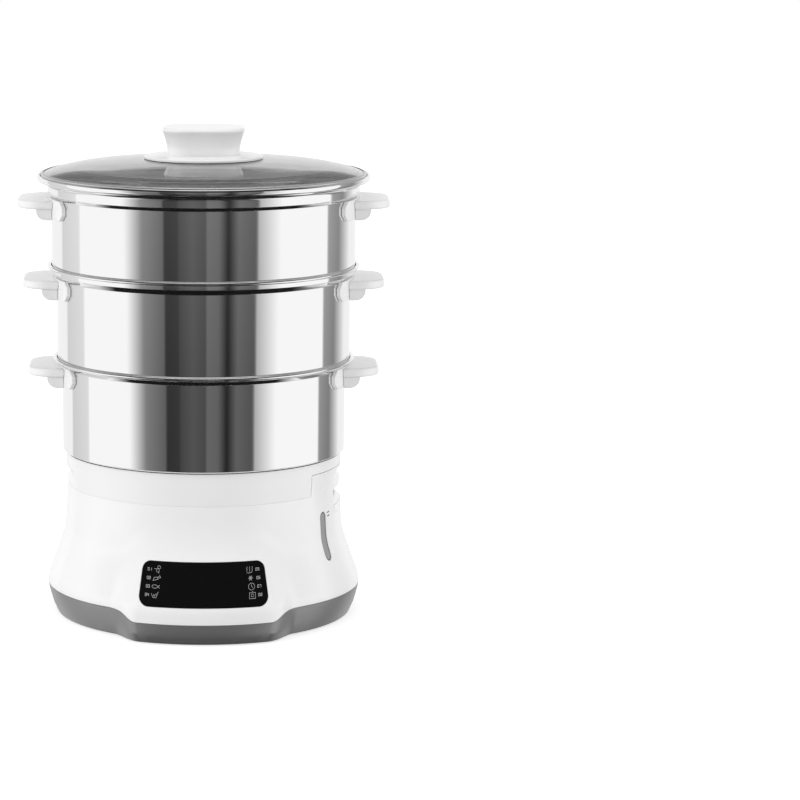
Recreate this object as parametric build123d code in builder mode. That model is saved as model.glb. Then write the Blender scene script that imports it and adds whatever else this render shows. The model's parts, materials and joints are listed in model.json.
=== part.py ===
from build123d import *
import os
from math import asin, cos, degrees, radians, sin, sqrt, tan

# Electric food steamer: a heated base with a touch panel, a juice collector, three
# nesting steel bowls with plastic handles, and a domed glass lid with a knob.
# Origin on the standing plane, on the steamer's axis. +Z up, front towards -Y.
# Everything is in millimetres, and angles in degrees.

os.makedirs("parts", exist_ok=True)

# ---------------------------------------------------------------- clearances
seat_gap = 0.15  # between curved faces of pieces that are fixed together
lift_gap = 0.35  # between pieces that lift off each other
thread_gap = 0.1  # round a screw's thread, and at the end of its hole
screw_clearance = 0.2  # added to a screw's radius in the piece that it passes

# ---------------------------------------------------------------- base, outside
# The seam, where the collector stands on the base, carries the other radii and heights.
seam_radius = 112.9
seam_height = 107.8
foot_height = 0.6  # the skirt's edge stands this far above the floor
belly_reach = 16.6  # the widest ring stands this far outside the seam
belly_height = 27.0
skirt_tuck = 7.2  # the skirt's lower edge lies this far inside the widest ring
crease_tuck = 3.6  # and so does the crease, under which the skirt tucks in
crease_height = 8.5
crease_lean = 1.4  # how much more than its chord the skirt leans out at the crease
flare_tuck = 1.3  # the lower end of the straight flare, inside the widest ring
flare_low_height = 32.4
flare_high_reach = 5.4  # upper end of the straight flare, outside the seam
flare_high_height = 60.7
neck_reach = 2.1  # lower end of the straight neck, outside the seam
neck_drop = 32.8  # and under it
base_wall = 2.5

# The apron is the swelling of the base's front that carries the panel.
apron_reach = 12.0  # how far it stands out of the round base
apron_skirt_tuck = 6.0  # its lower edge, inside its own widest ring
apron_crease_tuck = 1.2
apron_belly_height = 21.0
apron_front_angle = 22.0  # its front reaches this far to both sides of the middle
apron_side_angle = 36.5  # and its sides have sunk into the round base here
apron_side_steps = 6  # outlines between those two angles
apron_top_reach = 8.1  # upper end of its straight face, outside the seam
apron_top_height = 65.5
apron_blend_reach = 0.4  # where its upper curve has sunk into the neck
apron_blend_drop = 12.8  # under the seam

# The white housing meets the grey skirt along a line that dips under the panel.
parting_height = 24.0
parting_front_height = 17.6
parting_gap = 0.2
parting_dip_outer = 70.0  # half widths between which the line dips
parting_dip_inner = 54.0

# ---------------------------------------------------------------- touch panel
panel_bottom = 31.5
panel_top = 64.3
panel_bottom_width = 104.7
panel_top_width = 95.6
panel_corner = 7.0
panel_thickness = 2.0
panel_clearance = 0.3
panel_backing = 2.0  # extra wall behind the panel
panel_backing_rim = 4.0

# ---------------------------------------------------------------- water gauge
gauge_angle = -31.5  # about +Z from +X, so on the right of the front
gauge_low_drop = 54.8  # its ends lie this far under the seam
gauge_high_drop = 15.2
gauge_width = 8.6
gauge_inset = 0.4  # the window lies this far inside the housing's face
gauge_flange = 3.0
gauge_flange_thickness = 1.4
gauge_seal_thickness = 1.0

# ---------------------------------------------------------------- grip grooves
groove_rise = 8.9  # the finger grooves' deepest line above the seam, at both sides
groove_depth = 3.9
groove_low_rise = 4.2
groove_high_rise = 14.6
groove_half_angle = 20.0
groove_bulge_share = 0.6  # the sides bulge most this far from the deepest line
tongue_half_angle = 39.5  # of the base's upright tongue on the right
mouth_low_drop = 13.8  # water filling mouth, its lower edge under the seam
mouth_drop = 7.2  # its deepest line
mouth_high_rise = 0.6
mouth_depth = 6.4
mouth_lip_drop = 2.0  # the lower lip ends this far under the deepest line
mouth_roof_rise = 3.2  # and the roof of the way in starts this far above it
mouth_half_angle = 20.0
spout_drop = 19.8  # underside of the lower lip
block_half_angle = 24.0  # thick wall behind the grooves and the mouth
block_drop = 23.8

# ---------------------------------------------------------------- base, inside
plate_height = 4.0  # underside of the bottom plate
plate_thickness = 2.5
skirt_flange = 8.0
skirt_flange_thickness = 2.0
foot_radius = 9.0
foot_inset = 25.5  # their circle, inside the widest ring
foot_stem = 2.5
foot_barb = 1.5
foot_chamfer = 1.0
post_radius = 4.0
post_inset = 7.9  # their circle, inside the seam
post_angles = (60, 120, 180, 240, 300)
foot_angles = (45, 135, 225, 315)
base_screw_radius = 1.5
base_screw_length = 14.0
base_screw_head = 2.0
ledge_drop = 16.3  # ring that carries the reservoir, under the seam
ledge_thickness = 2.5
ledge_inset = 11.4  # its inner edge, inside the seam
reservoir_flange_inset = 6.9
reservoir_inset = 14.9
reservoir_wall = 2.2
reservoir_floor = 46.0  # underside of its floor
reservoir_round = 8.0
heater_hole_radius = 41.0
seal_radius = 46.0
seal_thickness = 1.2
heating_plate_thickness = 1.5
element_ring_radius = 32.0
element_tube_radius = 3.3
element_gap_angle = 50.0
element_pin_radius = 1.6
pin_turn = 3.0
terminal_length = 9.0
clamp_inner_radius = 38.5
clamp_radius = 58.0
clamp_thickness = 1.6
clamp_screw_circle = 53.0
clamp_screw_radius = 1.5
clamp_screw_depth = 3.6
clamp_screw_head = 1.6
clamp_boss_radius = 4.0
clamp_angles = (90, 210, 330)
thermostat_radius = 7.5
thermostat_height = 9.0
thermostat_flange_radius = 11.0
fuse_radius = 3.0
fuse_length = 16.0
fuse_offset = 19.0
steam_ring_radius = 56.0
steam_ring_wall = 2.0
steam_ring_height = 38.0
steam_ring_arch = 7.0

# Electronics on the bottom plate
power_board_size = (76.0, 44.0, 1.6)
power_board_inset = 44.9  # its middle lies this far inside the seam, at the back
standoff_height = 6.0
standoff_radius = 3.5
board_screw_radius = 1.3
board_screw_head = 1.6
board_screw_inset = 5.0
block_chamfer = 1.0
vent_pitch = 8.0
vent_count = 5
vent_length = 60.0
vent_width = 3.0
relay_size = (19.0, 15.0, 15.0)
relay_place = (14.5, 8.0)  # on the power board, from its middle
transformer_size = (28.0, 24.0, 20.0)
transformer_place = (-14.0, 6.0)
terminal_block_size = (24.0, 11.0, 12.0)
terminal_block_place = (14.0, -13.0)
display_board_size = (76.0, 1.6, 34.0)
display_board_reach = 5.5  # its front face stands this far outside the ledge
display_board_bottom = 26.0
display_module_size = (40.0, 7.0, 18.0)
bracket_post_width = 6.0
bracket_post_depth = 7.0
bracket_slot_grip = 2.0
bracket_bar = 4.0
buzzer_radius = 6.0
buzzer_height = 6.0
buzzer_place = (-18.0, -13.0)
gland_height = 34.0
gland_radius = 6.5
gland_collar_radius = 9.0
gland_collar = 3.0
gland_taper = 12.0
gland_flange_radius = 8.6
gland_flange = 1.5
gland_sag = 1.2  # the curved wall comes this much nearer at the flange's edge
gland_bore = 4.5
gland_inner_length = 1.0

# ---------------------------------------------------------------- juice collector
collector_height = 26.7  # from the seam to the outside of its rim
collector_flare = 1.1  # its upper band stands this far outside the seam
collector_wall = 2.0
tray_rise = 3.2  # underside of the drip tray above the seam
tray_thickness = 2.0
chimney_radius = 36.0
chimney_height = 9.0
tray_inset = 8.9  # outside of the tray's own wall, inside the seam
tray_wall = 2.0
tray_flange = 1.6  # joins the tray's wall to the outer wall
locating_depth = 6.0  # the ring that reaches down into the base
locating_wall = 1.8
locating_root = 3.0  # height of its thick root over the seam
locating_clearance = 0.5

# ---------------------------------------------------------------- bowls
steel = 0.8
bowl_overhang = 2.8  # the bottom bowl's wall stands this far outside the collector
bowl_radius_step = 4.0  # each bowl is this much wider than the one below
ledge_slope = 30.0  # of the ring that the next bowl rests on
bottom_wall_height = 72.3
middle_wall_height = 68.6
top_wall_height = 61.8
bottom_collar_height = 1.0
middle_collar_height = 6.6
top_collar_height = 4.2
nest_clearance = 0.5
spigot_depth = 6.0
collar_clearance = 0.4  # between a bowl's wall and the collar it stands in
rim_bead = 1.55
top_flare_reach = 10.0  # the top bowl's rim flares out to hold the lid
top_flare_rise = 7.2
top_rim_rise = 3.0
top_collar_step = 2.8

# Perforated floor: holes in the middle and four embossed egg rings
centre_hole_radius = 5.0
centre_hole_circle = 20.0
egg_circle = 58.0
egg_ring_radius = 29.0
egg_ring_width = 1.6
egg_ring_rise = 1.0
egg_hole_radius = 3.75
egg_outer_hole_circle = 21.0
egg_outer_hole_count = 12
egg_inner_hole_circle = 9.5
egg_inner_hole_count = 5
edge_hole_circle = 88.0

# ---------------------------------------------------------------- handles
handle_reach = 27.5  # from the bowl's wall to the tip
handle_width = 75.0
handle_corner = 22.0
handle_tab = 3.2
handle_lip_height = 6.8
handle_lip = 4.6
handle_drop = 1.5  # the grip's top lies this far under the wall plate's
handle_block_reach = 11.0
handle_block_height = 15.7
handle_plate_drop = 0.5  # the wall plate starts this far under the ledge
handle_block_round = 8.0
handle_edge_round = 2.0
handle_plate_half_angle = 27.0
handle_plate_height = 16.0
handle_plate_thickness = 2.8
handle_plate_corner = 5.0
handle_screw_angle = 9.0
handle_screw_drop = 11.0
handle_screw_radius = 1.8
handle_screw_length = 8.5
screw_head_radius = 3.2
screw_head = 1.8

# ---------------------------------------------------------------- lid
lid_clearance = 0.4  # between the lid's rim and the top bowl's rim
glass = 3.5
lid_crown_rise = 13.0
lid_shoulder_inset = 32.3  # where the dome turns down, inside the glass edge
lid_shoulder_rise = 7.4
lid_rim_wall = 0.8
lid_rim_lip = 2.2  # how far the steel rim reaches over the glass
lid_rim_width = 1.3
lid_rim_lip_steepness = 1.6
knob_plate_radius = 48.8
knob_plate_edge = 2.2
knob_plate_rise = 1.8
knob_plate_contact = 2.5
knob_plate_recess = 1.0
knob_plate_flat = 34.0
knob_gasket = 1.2
knob_gasket_radius = 22.0
knob_gasket_hole = 8.0
knob_neck_width = 60.0
knob_neck_corner = 21.0
knob_neck_height = 6.5
knob_top_width = 67.8
knob_top_corner = 24.0
knob_flare_height = 12.8
knob_flare_middle_share = 0.55
knob_flare_middle_width = 63.4
knob_crown = 2.2
knob_screw_radius = 2.5
knob_screw_depth = 12.0
knob_washer_radius = 9.0
knob_washer_thickness = 1.5
knob_screw_head_radius = 5.0
knob_screw_head = 3.5

# ---------------------------------------------------------------- worked out
belly_radius = seam_radius + belly_reach
skirt_radius = belly_radius - skirt_tuck
crease_radius = belly_radius - crease_tuck
flare_low_radius = belly_radius - flare_tuck
flare_high_radius = seam_radius + flare_high_reach
neck_radius = seam_radius + neck_reach
neck_height = seam_height - neck_drop
apron_top_radius = seam_radius + apron_top_reach
apron_blend_radius = seam_radius + apron_blend_reach
apron_blend_height = seam_height - apron_blend_drop
gauge_low = seam_height - gauge_low_drop
gauge_high = seam_height - gauge_high_drop
groove_height = seam_height + groove_rise
groove_low = seam_height + groove_low_rise
groove_high = seam_height + groove_high_rise
mouth_low = seam_height - mouth_low_drop
mouth_height = seam_height - mouth_drop
mouth_high = seam_height + mouth_high_rise
spout_bottom = seam_height - spout_drop
block_bottom = seam_height - block_drop
foot_circle = belly_radius - foot_inset
post_circle = seam_radius - post_inset
ledge_top = seam_height - ledge_drop
ledge_inner_radius = seam_radius - ledge_inset
reservoir_flange_radius = seam_radius - reservoir_flange_inset
reservoir_radius = seam_radius - reservoir_inset
display_board_face = ledge_inner_radius + display_board_reach
collector_top = seam_height + collector_height
collector_top_radius = seam_radius + collector_flare
tray_floor = seam_height + tray_rise
tray_radius = seam_radius - tray_inset
side_inner_radius = seam_radius / 2  # where the apron's sides start, deep inside
power_board_centre = (0.0, seam_radius - power_board_inset)
plate_top = plate_height + plate_thickness
apron_belly_radius = belly_radius + apron_reach
round_outline = (
    (skirt_radius, foot_height),
    (crease_radius, crease_height),
    (belly_radius, belly_height),
    (flare_low_radius, flare_low_height),
    (flare_high_radius, flare_high_height),
    (neck_radius, neck_height),
    (seam_radius, seam_height),
)
apron_outline = (
    (apron_belly_radius - apron_skirt_tuck, foot_height),
    (apron_belly_radius - apron_crease_tuck, crease_height),
    (apron_belly_radius, apron_belly_height),
    (flare_low_radius + apron_reach, flare_low_height),
    (apron_top_radius, apron_top_height),
    (apron_blend_radius, apron_blend_height),
    (seam_radius, seam_height),
)
ledge_bottom = ledge_top - ledge_thickness
reservoir_flange_top = ledge_top + reservoir_wall
reservoir_floor_top = reservoir_floor + reservoir_wall
heating_plate_top = reservoir_floor - seal_thickness
heating_plate_bottom = heating_plate_top - heating_plate_thickness
clamp_bottom = heating_plate_bottom - clamp_thickness
board_bottom = plate_top + standoff_height
board_top = board_bottom + power_board_size[2]
ledge_rise = tan(radians(ledge_slope))
ledge_gap = lift_gap / cos(radians(ledge_slope))
collector_inner_radius = collector_top_radius - collector_wall
screw_angles = tuple(
    side + turn for side in (0, 180) for turn in (-handle_screw_angle, handle_screw_angle)
)


class Bowl:
    """Sizes of one bowl, worked out from the sloping rim that it rests on."""

    def __init__(self, name, radius, rest_radius, rest_height, rest_inner, wall_height):
        self.name = name
        self.radius = radius
        self.spigot_radius = rest_inner - nest_clearance
        self.wall_low = rest_height + ledge_gap + ledge_rise * (radius - rest_radius)
        self.shoulder_low = self.wall_low - ledge_rise * (radius - self.spigot_radius)
        self.floor = self.shoulder_low - spigot_depth
        self.wall_high = self.wall_low + wall_height
        self.rest_height = self.wall_high + steel / cos(radians(ledge_slope))
        self.plate_top = self.wall_high - handle_plate_drop
        self.screw_height = self.plate_top - handle_screw_drop
        self.flare = []

    def set_collar(self, collar_radius, collar_height):
        """Give the bowl its collar, where the ledge's outer end turns up."""
        self.collar_radius = collar_radius
        self.collar_low = self.wall_high + ledge_rise * (collar_radius - self.radius)
        self.collar_high = self.collar_low + collar_height


def bowl_on(below, name, wall_height):
    """The next bowl up, which stands in the one below."""
    radius = below.radius + bowl_radius_step
    rest = (below.radius, below.rest_height, below.radius - steel)
    return Bowl(name, radius, *rest, wall_height)


bottom_rest = (collector_top_radius, collector_top, collector_inner_radius)
bottom = Bowl("bottom", collector_top_radius + bowl_overhang, *bottom_rest, bottom_wall_height)
middle = bowl_on(bottom, "middle", middle_wall_height)
top = bowl_on(middle, "top", top_wall_height)
bottom.set_collar(middle.radius + collar_clearance + steel, bottom_collar_height)
middle.set_collar(top.radius + collar_clearance + steel, middle_collar_height)
top.set_collar(top.radius + top_collar_step, top_collar_height)
top_flare_radius = top.radius + top_flare_reach
flare_top = top.collar_high + top_flare_rise
top.flare = [(top_flare_radius, flare_top), (top_flare_radius, flare_top + top_rim_rise)]
bowls = (bottom, middle, top)

tray_flange_top = bottom.floor - lift_gap
tray_flange_bottom = tray_flange_top - tray_flange
collector_slope = (collector_top_radius - seam_radius) / (tray_flange_bottom - seam_height)
tray_top = tray_floor + tray_thickness
tongue_top = tray_flange_bottom - lift_gap
mouth_window_top = mouth_height + mouth_roof_rise
spout_top = mouth_height - mouth_lip_drop
mouth_inner_radius = seam_radius - mouth_depth
flare_slope = (flare_low_radius - flare_high_radius) / (flare_high_height - flare_low_height)


def export(piece, name):
    """Label one finished piece and write it."""
    piece.label = name
    export_step(piece, f"parts/{name}.step")


def radial_plane(angle, height, distance=0.0):
    """A plane whose normal points outwards from the axis at an angle."""
    outward = (cos(radians(angle)), sin(radians(angle)), 0)
    start = (distance * outward[0], distance * outward[1], height)
    return Plane(origin=start, x_dir=(-outward[1], outward[0], 0), z_dir=outward)


def polar_places(circle, angles):
    """Points on a circle round the axis."""
    return [(circle * cos(radians(a)), circle * sin(radians(a))) for a in angles]


def flank_plane(angle, height):
    """A plane lying on the base's straight flare, at an angle and height."""
    reach = flare_low_radius - flare_slope * (height - flare_low_height)
    along = (cos(radians(angle)), sin(radians(angle)))
    start = (reach * along[0], reach * along[1], height)
    sideways = (-along[1], along[0], 0)
    return Plane(origin=start, x_dir=sideways, z_dir=(along[0], along[1], flare_slope))


def collector_form(inset):
    """The collector's outer form as a solid, inset by a wall: a cone under a straight band."""
    low = (seam_radius - inset, seam_height)
    band = (collector_top_radius - inset, tray_flange_bottom)
    high = (band[0], collector_top)
    with BuildPart() as form:
        with BuildSketch(Plane.XZ):
            with BuildLine():
                Polyline((0, low[1]), low, band, high, (0, high[1]), close=True)
            make_face()
        revolve(axis=Axis.Z)
    return form.part


def sector(inner, outer, low, high, middle, half_angle):
    """A piece of a ring between two radii, two heights and two angles."""
    with BuildPart() as piece:
        with BuildSketch(Plane.XY.offset(low)):
            Circle(outer)
            Circle(inner, mode=Mode.SUBTRACT)
            with BuildLine():
                far = 2 * outer / cos(radians(half_angle))
                ends = [middle - half_angle, middle + half_angle]
                corners = [(far * cos(radians(a)), far * sin(radians(a))) for a in ends]
                Polyline((0, 0), *corners, (0, 0))
            make_face(mode=Mode.INTERSECT)
        extrude(amount=high - low)
    return piece.part


def groove_cutter(radius, low, middle, high, depth, at, half_angle):
    """A groove with two bulging sides that meet at its deepest line."""
    deep = radius - depth
    mouth = radius + lift_gap
    clear = radius + depth
    bulge = radius - depth / 4
    with BuildPart() as cutter:
        with BuildSketch(Plane.XZ):
            with BuildLine():
                lower = (bulge, middle - groove_bulge_share * (middle - low))
                upper = (bulge, middle + groove_bulge_share * (high - middle))
                ThreePointArc((mouth, low), lower, (deep, middle))
                ThreePointArc((deep, middle), upper, (mouth, high))
                Line((mouth, high), (clear, high))
                Line((clear, high), (clear, low))
                Line((clear, low), (mouth, low))
            make_face()
        revolve(axis=Axis.Z)
        slice_high = 2 * (high - low)
        add(
            sector(deep - depth, clear + depth, low - slice_high, high + slice_high, at, half_angle),
            mode=Mode.INTERSECT,
        )
    return cutter.part


def half_plane(angle):
    """The upright plane that starts at the axis and runs outwards at an angle."""
    along = (cos(radians(angle)), sin(radians(angle)))
    return Plane(origin=(0, 0, 0), x_dir=(along[0], along[1], 0), z_dir=(along[1], -along[0], 0))


def outline_face(inset, share, angle=0.0, inner=0.0):
    """The base's outline, inset by a wall, from round (share 0) to apron (share 1)."""
    pairs = zip(round_outline, apron_outline)
    points = [(a[0] + share * (b[0] - a[0]), a[1] + share * (b[1] - a[1])) for a, b in pairs]
    foot, crease, belly, low, high, neck, top = [(reach - inset, z) for reach, z in points]
    lean = (crease_lean * (belly[0] - crease[0]), belly[1] - crease[1])
    flare = (high[0] - low[0], high[1] - low[1])
    upright = (top[0] - neck[0], top[1] - neck[1])
    with BuildSketch(half_plane(angle)) as face:
        with BuildLine():
            Line((inner, foot[1]), foot)
            Line(foot, crease)
            Spline(crease, belly, low, tangents=[lean, flare])
            Line(low, high)
            Spline(high, neck, tangents=[flare, upright])
            Line(neck, top)
            Line(top, (inner, top[1]))
            Line((inner, top[1]), (inner, foot[1]))
        make_face()
    return face.sketch


def turned_form(inset, share, start=0.0, arc=360.0):
    """The outline at one share, turned about the axis from an angle."""
    with BuildPart() as form:
        add(outline_face(inset, share, start))
        revolve(axis=Axis.Z, revolution_arc=arc)
    return form.part


def round_form(inset):
    """The round base without its apron, inset by a wall."""
    return turned_form(inset, 0)


def apron_form(inset):
    """The apron's front carried all the way round, inset by a wall."""
    return turned_form(inset, 1)


def apron_side(inset):
    """The right side of the apron, where its front eases into the round base."""
    faces = []
    for step in range(apron_side_steps + 1):
        way = step / apron_side_steps
        angle = apron_front_angle + way * (apron_side_angle - apron_front_angle) - 90
        share = (1 - way) ** 2 * (1 + 2 * way)
        faces.append(outline_face(inset, share, angle, side_inner_radius))
    with BuildPart() as side:
        add(faces)
        loft()
    return side.part


def base_form(inset, low=foot_height, high=seam_height):
    """The base's outer form as a solid, inset by a wall, between two heights."""
    side = apron_side(inset)
    with BuildPart() as form:
        add(turned_form(inset, 0, apron_side_angle - 90, 360 - 2 * apron_side_angle))
        add(turned_form(inset, 1, -90 - apron_front_angle, 2 * apron_front_angle))
        with BuildSketch(Plane.XY.offset(foot_height)):
            Circle(side_inner_radius + base_wall)
        extrude(amount=seam_height - foot_height)
        add(side)
        add(mirror(side, about=Plane.YZ))
        with BuildSketch(Plane.XY.offset(low)):
            Circle(2 * belly_radius)
        extrude(amount=high - low, mode=Mode.INTERSECT)
    return form.part


def below_parting(gap=0.0):
    """All that lies under the line between housing and skirt."""
    side = parting_height - gap
    front = parting_front_height - gap
    wide = 2 * belly_radius
    with BuildPart() as lower:
        with BuildSketch(Plane.XZ):
            with BuildLine():
                Line((0, -foot_height), (wide, -foot_height))
                Line((wide, -foot_height), (wide, side))
                Line((wide, side), (parting_dip_outer, side))
                Spline(
                    (parting_dip_outer, side),
                    (parting_dip_inner, front),
                    tangents=[(-1, 0), (-1, 0)],
                )
                Line((parting_dip_inner, front), (0, front))
                mirror(about=Plane.YZ)
            make_face()
        extrude(amount=wide)
        with BuildSketch(Plane.XY.offset(-foot_height)):
            with Locations((0, wide / 2)):
                Rectangle(2 * wide, wide)
        extrude(amount=side + foot_height)
    return lower.part


def panel_prism(grow):
    """The panel's front view pushed through the base's front."""
    low = panel_bottom - grow
    high = panel_top + grow
    low_half = panel_bottom_width / 2 + grow
    high_half = panel_top_width / 2 + grow
    with BuildPart() as prism:
        with BuildSketch(Plane.XZ.offset(ledge_inner_radius)):
            with BuildLine():
                Polyline(
                    (-low_half, low),
                    (low_half, low),
                    (high_half, high),
                    (-high_half, high),
                    close=True,
                )
            face = make_face()
            fillet(face.vertices(), radius=panel_corner + grow)
        extrude(amount=belly_radius)
    return prism.part


def gauge_prism(grow):
    """The gauge's slot shape pushed outwards through the base's flank."""
    with BuildPart() as prism:
        middle = (gauge_low + gauge_high) / 2
        with BuildSketch(radial_plane(gauge_angle, middle)):
            SlotOverall(gauge_high - gauge_low + 2 * grow, gauge_width + 2 * grow, rotation=90)
        extrude(amount=2 * belly_radius)
    return prism.part


# ================================================================ base shells
outer_form = base_form(0)
inner_form = base_form(base_wall)

panel_hole = panel_prism(panel_clearance) - apron_form(panel_thickness + seat_gap)
mouth_cut = groove_cutter(
    seam_radius, mouth_low, mouth_height, mouth_high, mouth_depth, 0, mouth_half_angle
)
post_places = polar_places(post_circle, post_angles)
foot_places = polar_places(foot_circle, foot_angles)
gland_plane = flank_plane(90, gland_height)

board_half = (
    power_board_size[0] / 2 - board_screw_inset,
    power_board_size[1] / 2 - board_screw_inset,
)
board_corners = [
    (power_board_centre[0] + sx * board_half[0], power_board_centre[1] + sy * board_half[1])
    for sx in (-1, 1)
    for sy in (-1, 1)
]
seal_face = base_wall + seat_gap
flange_face = seal_face + gauge_seal_thickness + seat_gap
flange_back = flange_face + gauge_flange_thickness

with BuildPart() as base_housing:
    add(outer_form)
    add(inner_form, mode=Mode.SUBTRACT)
    # upright tongue beside the collector, and the thick wall behind the mouth
    tongue = sector(mouth_inner_radius, belly_radius, seam_height, tongue_top, 0, tongue_half_angle)
    add((tongue & collector_form(0)) - collector_form(base_wall))
    block = sector(mouth_inner_radius, belly_radius, block_bottom, tongue_top, 0, block_half_angle)
    add(block & (round_form(seat_gap) + collector_form(seat_gap)))
    # extra wall behind the panel
    panel_pad = panel_prism(panel_backing_rim) & apron_form(base_wall / 2)
    add(panel_pad - apron_form(base_wall + panel_backing))
    add(below_parting(), mode=Mode.SUBTRACT)
    # ring ledge that carries the reservoir, with a pocket for the gauge
    with BuildSketch(Plane.XY.offset(ledge_bottom)):
        Circle(seam_radius - base_wall / 2)
        Circle(ledge_inner_radius, mode=Mode.SUBTRACT)
    extrude(amount=ledge_thickness)
    gauge_pocket = gauge_prism(gauge_flange + panel_clearance) & round_form(base_wall)
    add(gauge_pocket - round_form(flange_back + panel_clearance), mode=Mode.SUBTRACT)
    # screw posts under the ledge
    with BuildSketch(Plane.XY.offset(plate_top)):
        with Locations(*post_places):
            Circle(post_radius)
    extrude(amount=ledge_bottom - plate_top)
    with BuildSketch(Plane.XY.offset(plate_top)):
        with Locations(*post_places):
            Circle(base_screw_radius + thread_gap)
    extrude(amount=base_screw_length, mode=Mode.SUBTRACT)
    add(panel_hole, mode=Mode.SUBTRACT)
    add(gauge_prism(seat_gap), mode=Mode.SUBTRACT)
    with BuildSketch(gland_plane.offset(-2 * gland_radius)):
        Circle(gland_radius + seat_gap)
    extrude(amount=4 * gland_radius, mode=Mode.SUBTRACT)
    # finger groove, and the mouth with the window for its lower lip
    groove = (groove_low, groove_height, groove_high, groove_depth)
    add(groove_cutter(seam_radius, *groove, 0, groove_half_angle), mode=Mode.SUBTRACT)
    add(mouth_cut, mode=Mode.SUBTRACT)
    window = (spout_bottom, mouth_window_top, 0, mouth_half_angle)
    add(sector(mouth_inner_radius - seat_gap, belly_radius, *window), mode=Mode.SUBTRACT)
export(base_housing.part, "base_housing")

with BuildPart() as base_skirt:
    add(outer_form)
    add(inner_form, mode=Mode.SUBTRACT)
    flange_top = plate_top + skirt_flange_thickness
    add(base_form(base_wall / 2, plate_top, flange_top))
    add(base_form(base_wall + skirt_flange, plate_top, flange_top), mode=Mode.SUBTRACT)
    add(below_parting(parting_gap), mode=Mode.INTERSECT)
export(base_skirt.part, "base_skirt")

with BuildPart() as bottom_plate:
    add(base_form(base_wall + seat_gap, plate_height, plate_top))
    with BuildSketch(Plane.XY.offset(plate_height)):
        with Locations(*post_places):
            Circle(base_screw_radius + screw_clearance)
        with Locations(*foot_places):
            Circle(foot_stem + seat_gap)
        with GridLocations(0, vent_pitch, 1, vent_count):
            SlotOverall(vent_length, vent_width)
    extrude(amount=plate_thickness, mode=Mode.SUBTRACT)
    with BuildSketch(Plane.XY.offset(plate_top)):
        with Locations(*board_corners):
            Circle(standoff_radius)
            Circle(board_screw_radius + thread_gap, mode=Mode.SUBTRACT)
    extrude(amount=standoff_height)
export(bottom_plate.part, "bottom_plate")

with BuildPart() as rubber_feet:
    with BuildSketch():
        with Locations(*foot_places):
            Circle(foot_radius)
    extrude(amount=plate_height)
    chamfer(rubber_feet.edges().group_by(Axis.Z)[0], length=foot_chamfer)
    with BuildSketch(Plane.XY.offset(plate_height)):
        with Locations(*foot_places):
            Circle(foot_stem)
    extrude(amount=plate_thickness + foot_barb)
export(rubber_feet.part, "rubber_feet")

with BuildPart() as base_screws:
    with BuildSketch(Plane.XY.offset(plate_height)):
        with Locations(*post_places):
            Circle(base_screw_radius)
    extrude(amount=plate_thickness + base_screw_length - thread_gap)
    with BuildSketch(Plane.XY.offset(plate_height)):
        with Locations(*post_places):
            Circle(2 * base_screw_radius)
    extrude(amount=-base_screw_head)
export(base_screws.part, "base_screws")

# ================================================================ panel, gauge, spout, gland
with BuildPart() as control_panel:
    add(panel_prism(0))
    add(apron_form(0), mode=Mode.INTERSECT)
    add(apron_form(panel_thickness), mode=Mode.SUBTRACT)
export(control_panel.part, "control_panel")

with BuildPart() as water_gauge:
    add(round_form(gauge_inset))
    add(gauge_prism(0), mode=Mode.INTERSECT)
    add(gauge_prism(gauge_flange) & round_form(flange_face))
    add(round_form(flange_back), mode=Mode.SUBTRACT)
export(water_gauge.part, "water_gauge")

with BuildPart() as gauge_seal:
    add(gauge_prism(gauge_flange))
    add(gauge_prism(seat_gap), mode=Mode.SUBTRACT)
    add(round_form(seal_face), mode=Mode.INTERSECT)
    back = seal_face + gauge_seal_thickness
    add(round_form(back), mode=Mode.SUBTRACT)
export(gauge_seal.part, "gauge_seal")

with BuildPart() as inlet_spout:
    spout = (spout_bottom, spout_top, 0, mouth_half_angle - 2 * seat_gap)
    add(sector(mouth_inner_radius, belly_radius, *spout))
    add(round_form(0), mode=Mode.INTERSECT)
    add(mouth_cut, mode=Mode.SUBTRACT)
export(inlet_spout.part, "inlet_spout")

with BuildPart() as cord_gland:
    gland_inner_face = base_wall + gland_sag
    gland_end = gland_inner_face + gland_flange + gland_inner_length
    with BuildSketch(gland_plane.offset(seat_gap)):
        Circle(gland_collar_radius)
    extrude(amount=gland_collar, taper=gland_taper)
    with BuildSketch(gland_plane.offset(seat_gap)):
        Circle(gland_radius)
    extrude(amount=-(seat_gap + gland_end))
    with BuildSketch(gland_plane.offset(-gland_inner_face)):
        Circle(gland_flange_radius)
    extrude(amount=-gland_flange)
    with BuildSketch(gland_plane.offset(seat_gap + gland_collar)):
        Circle(gland_bore)
    extrude(amount=-(seat_gap + gland_collar + gland_end), mode=Mode.SUBTRACT)
export(cord_gland.part, "cord_gland")

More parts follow.
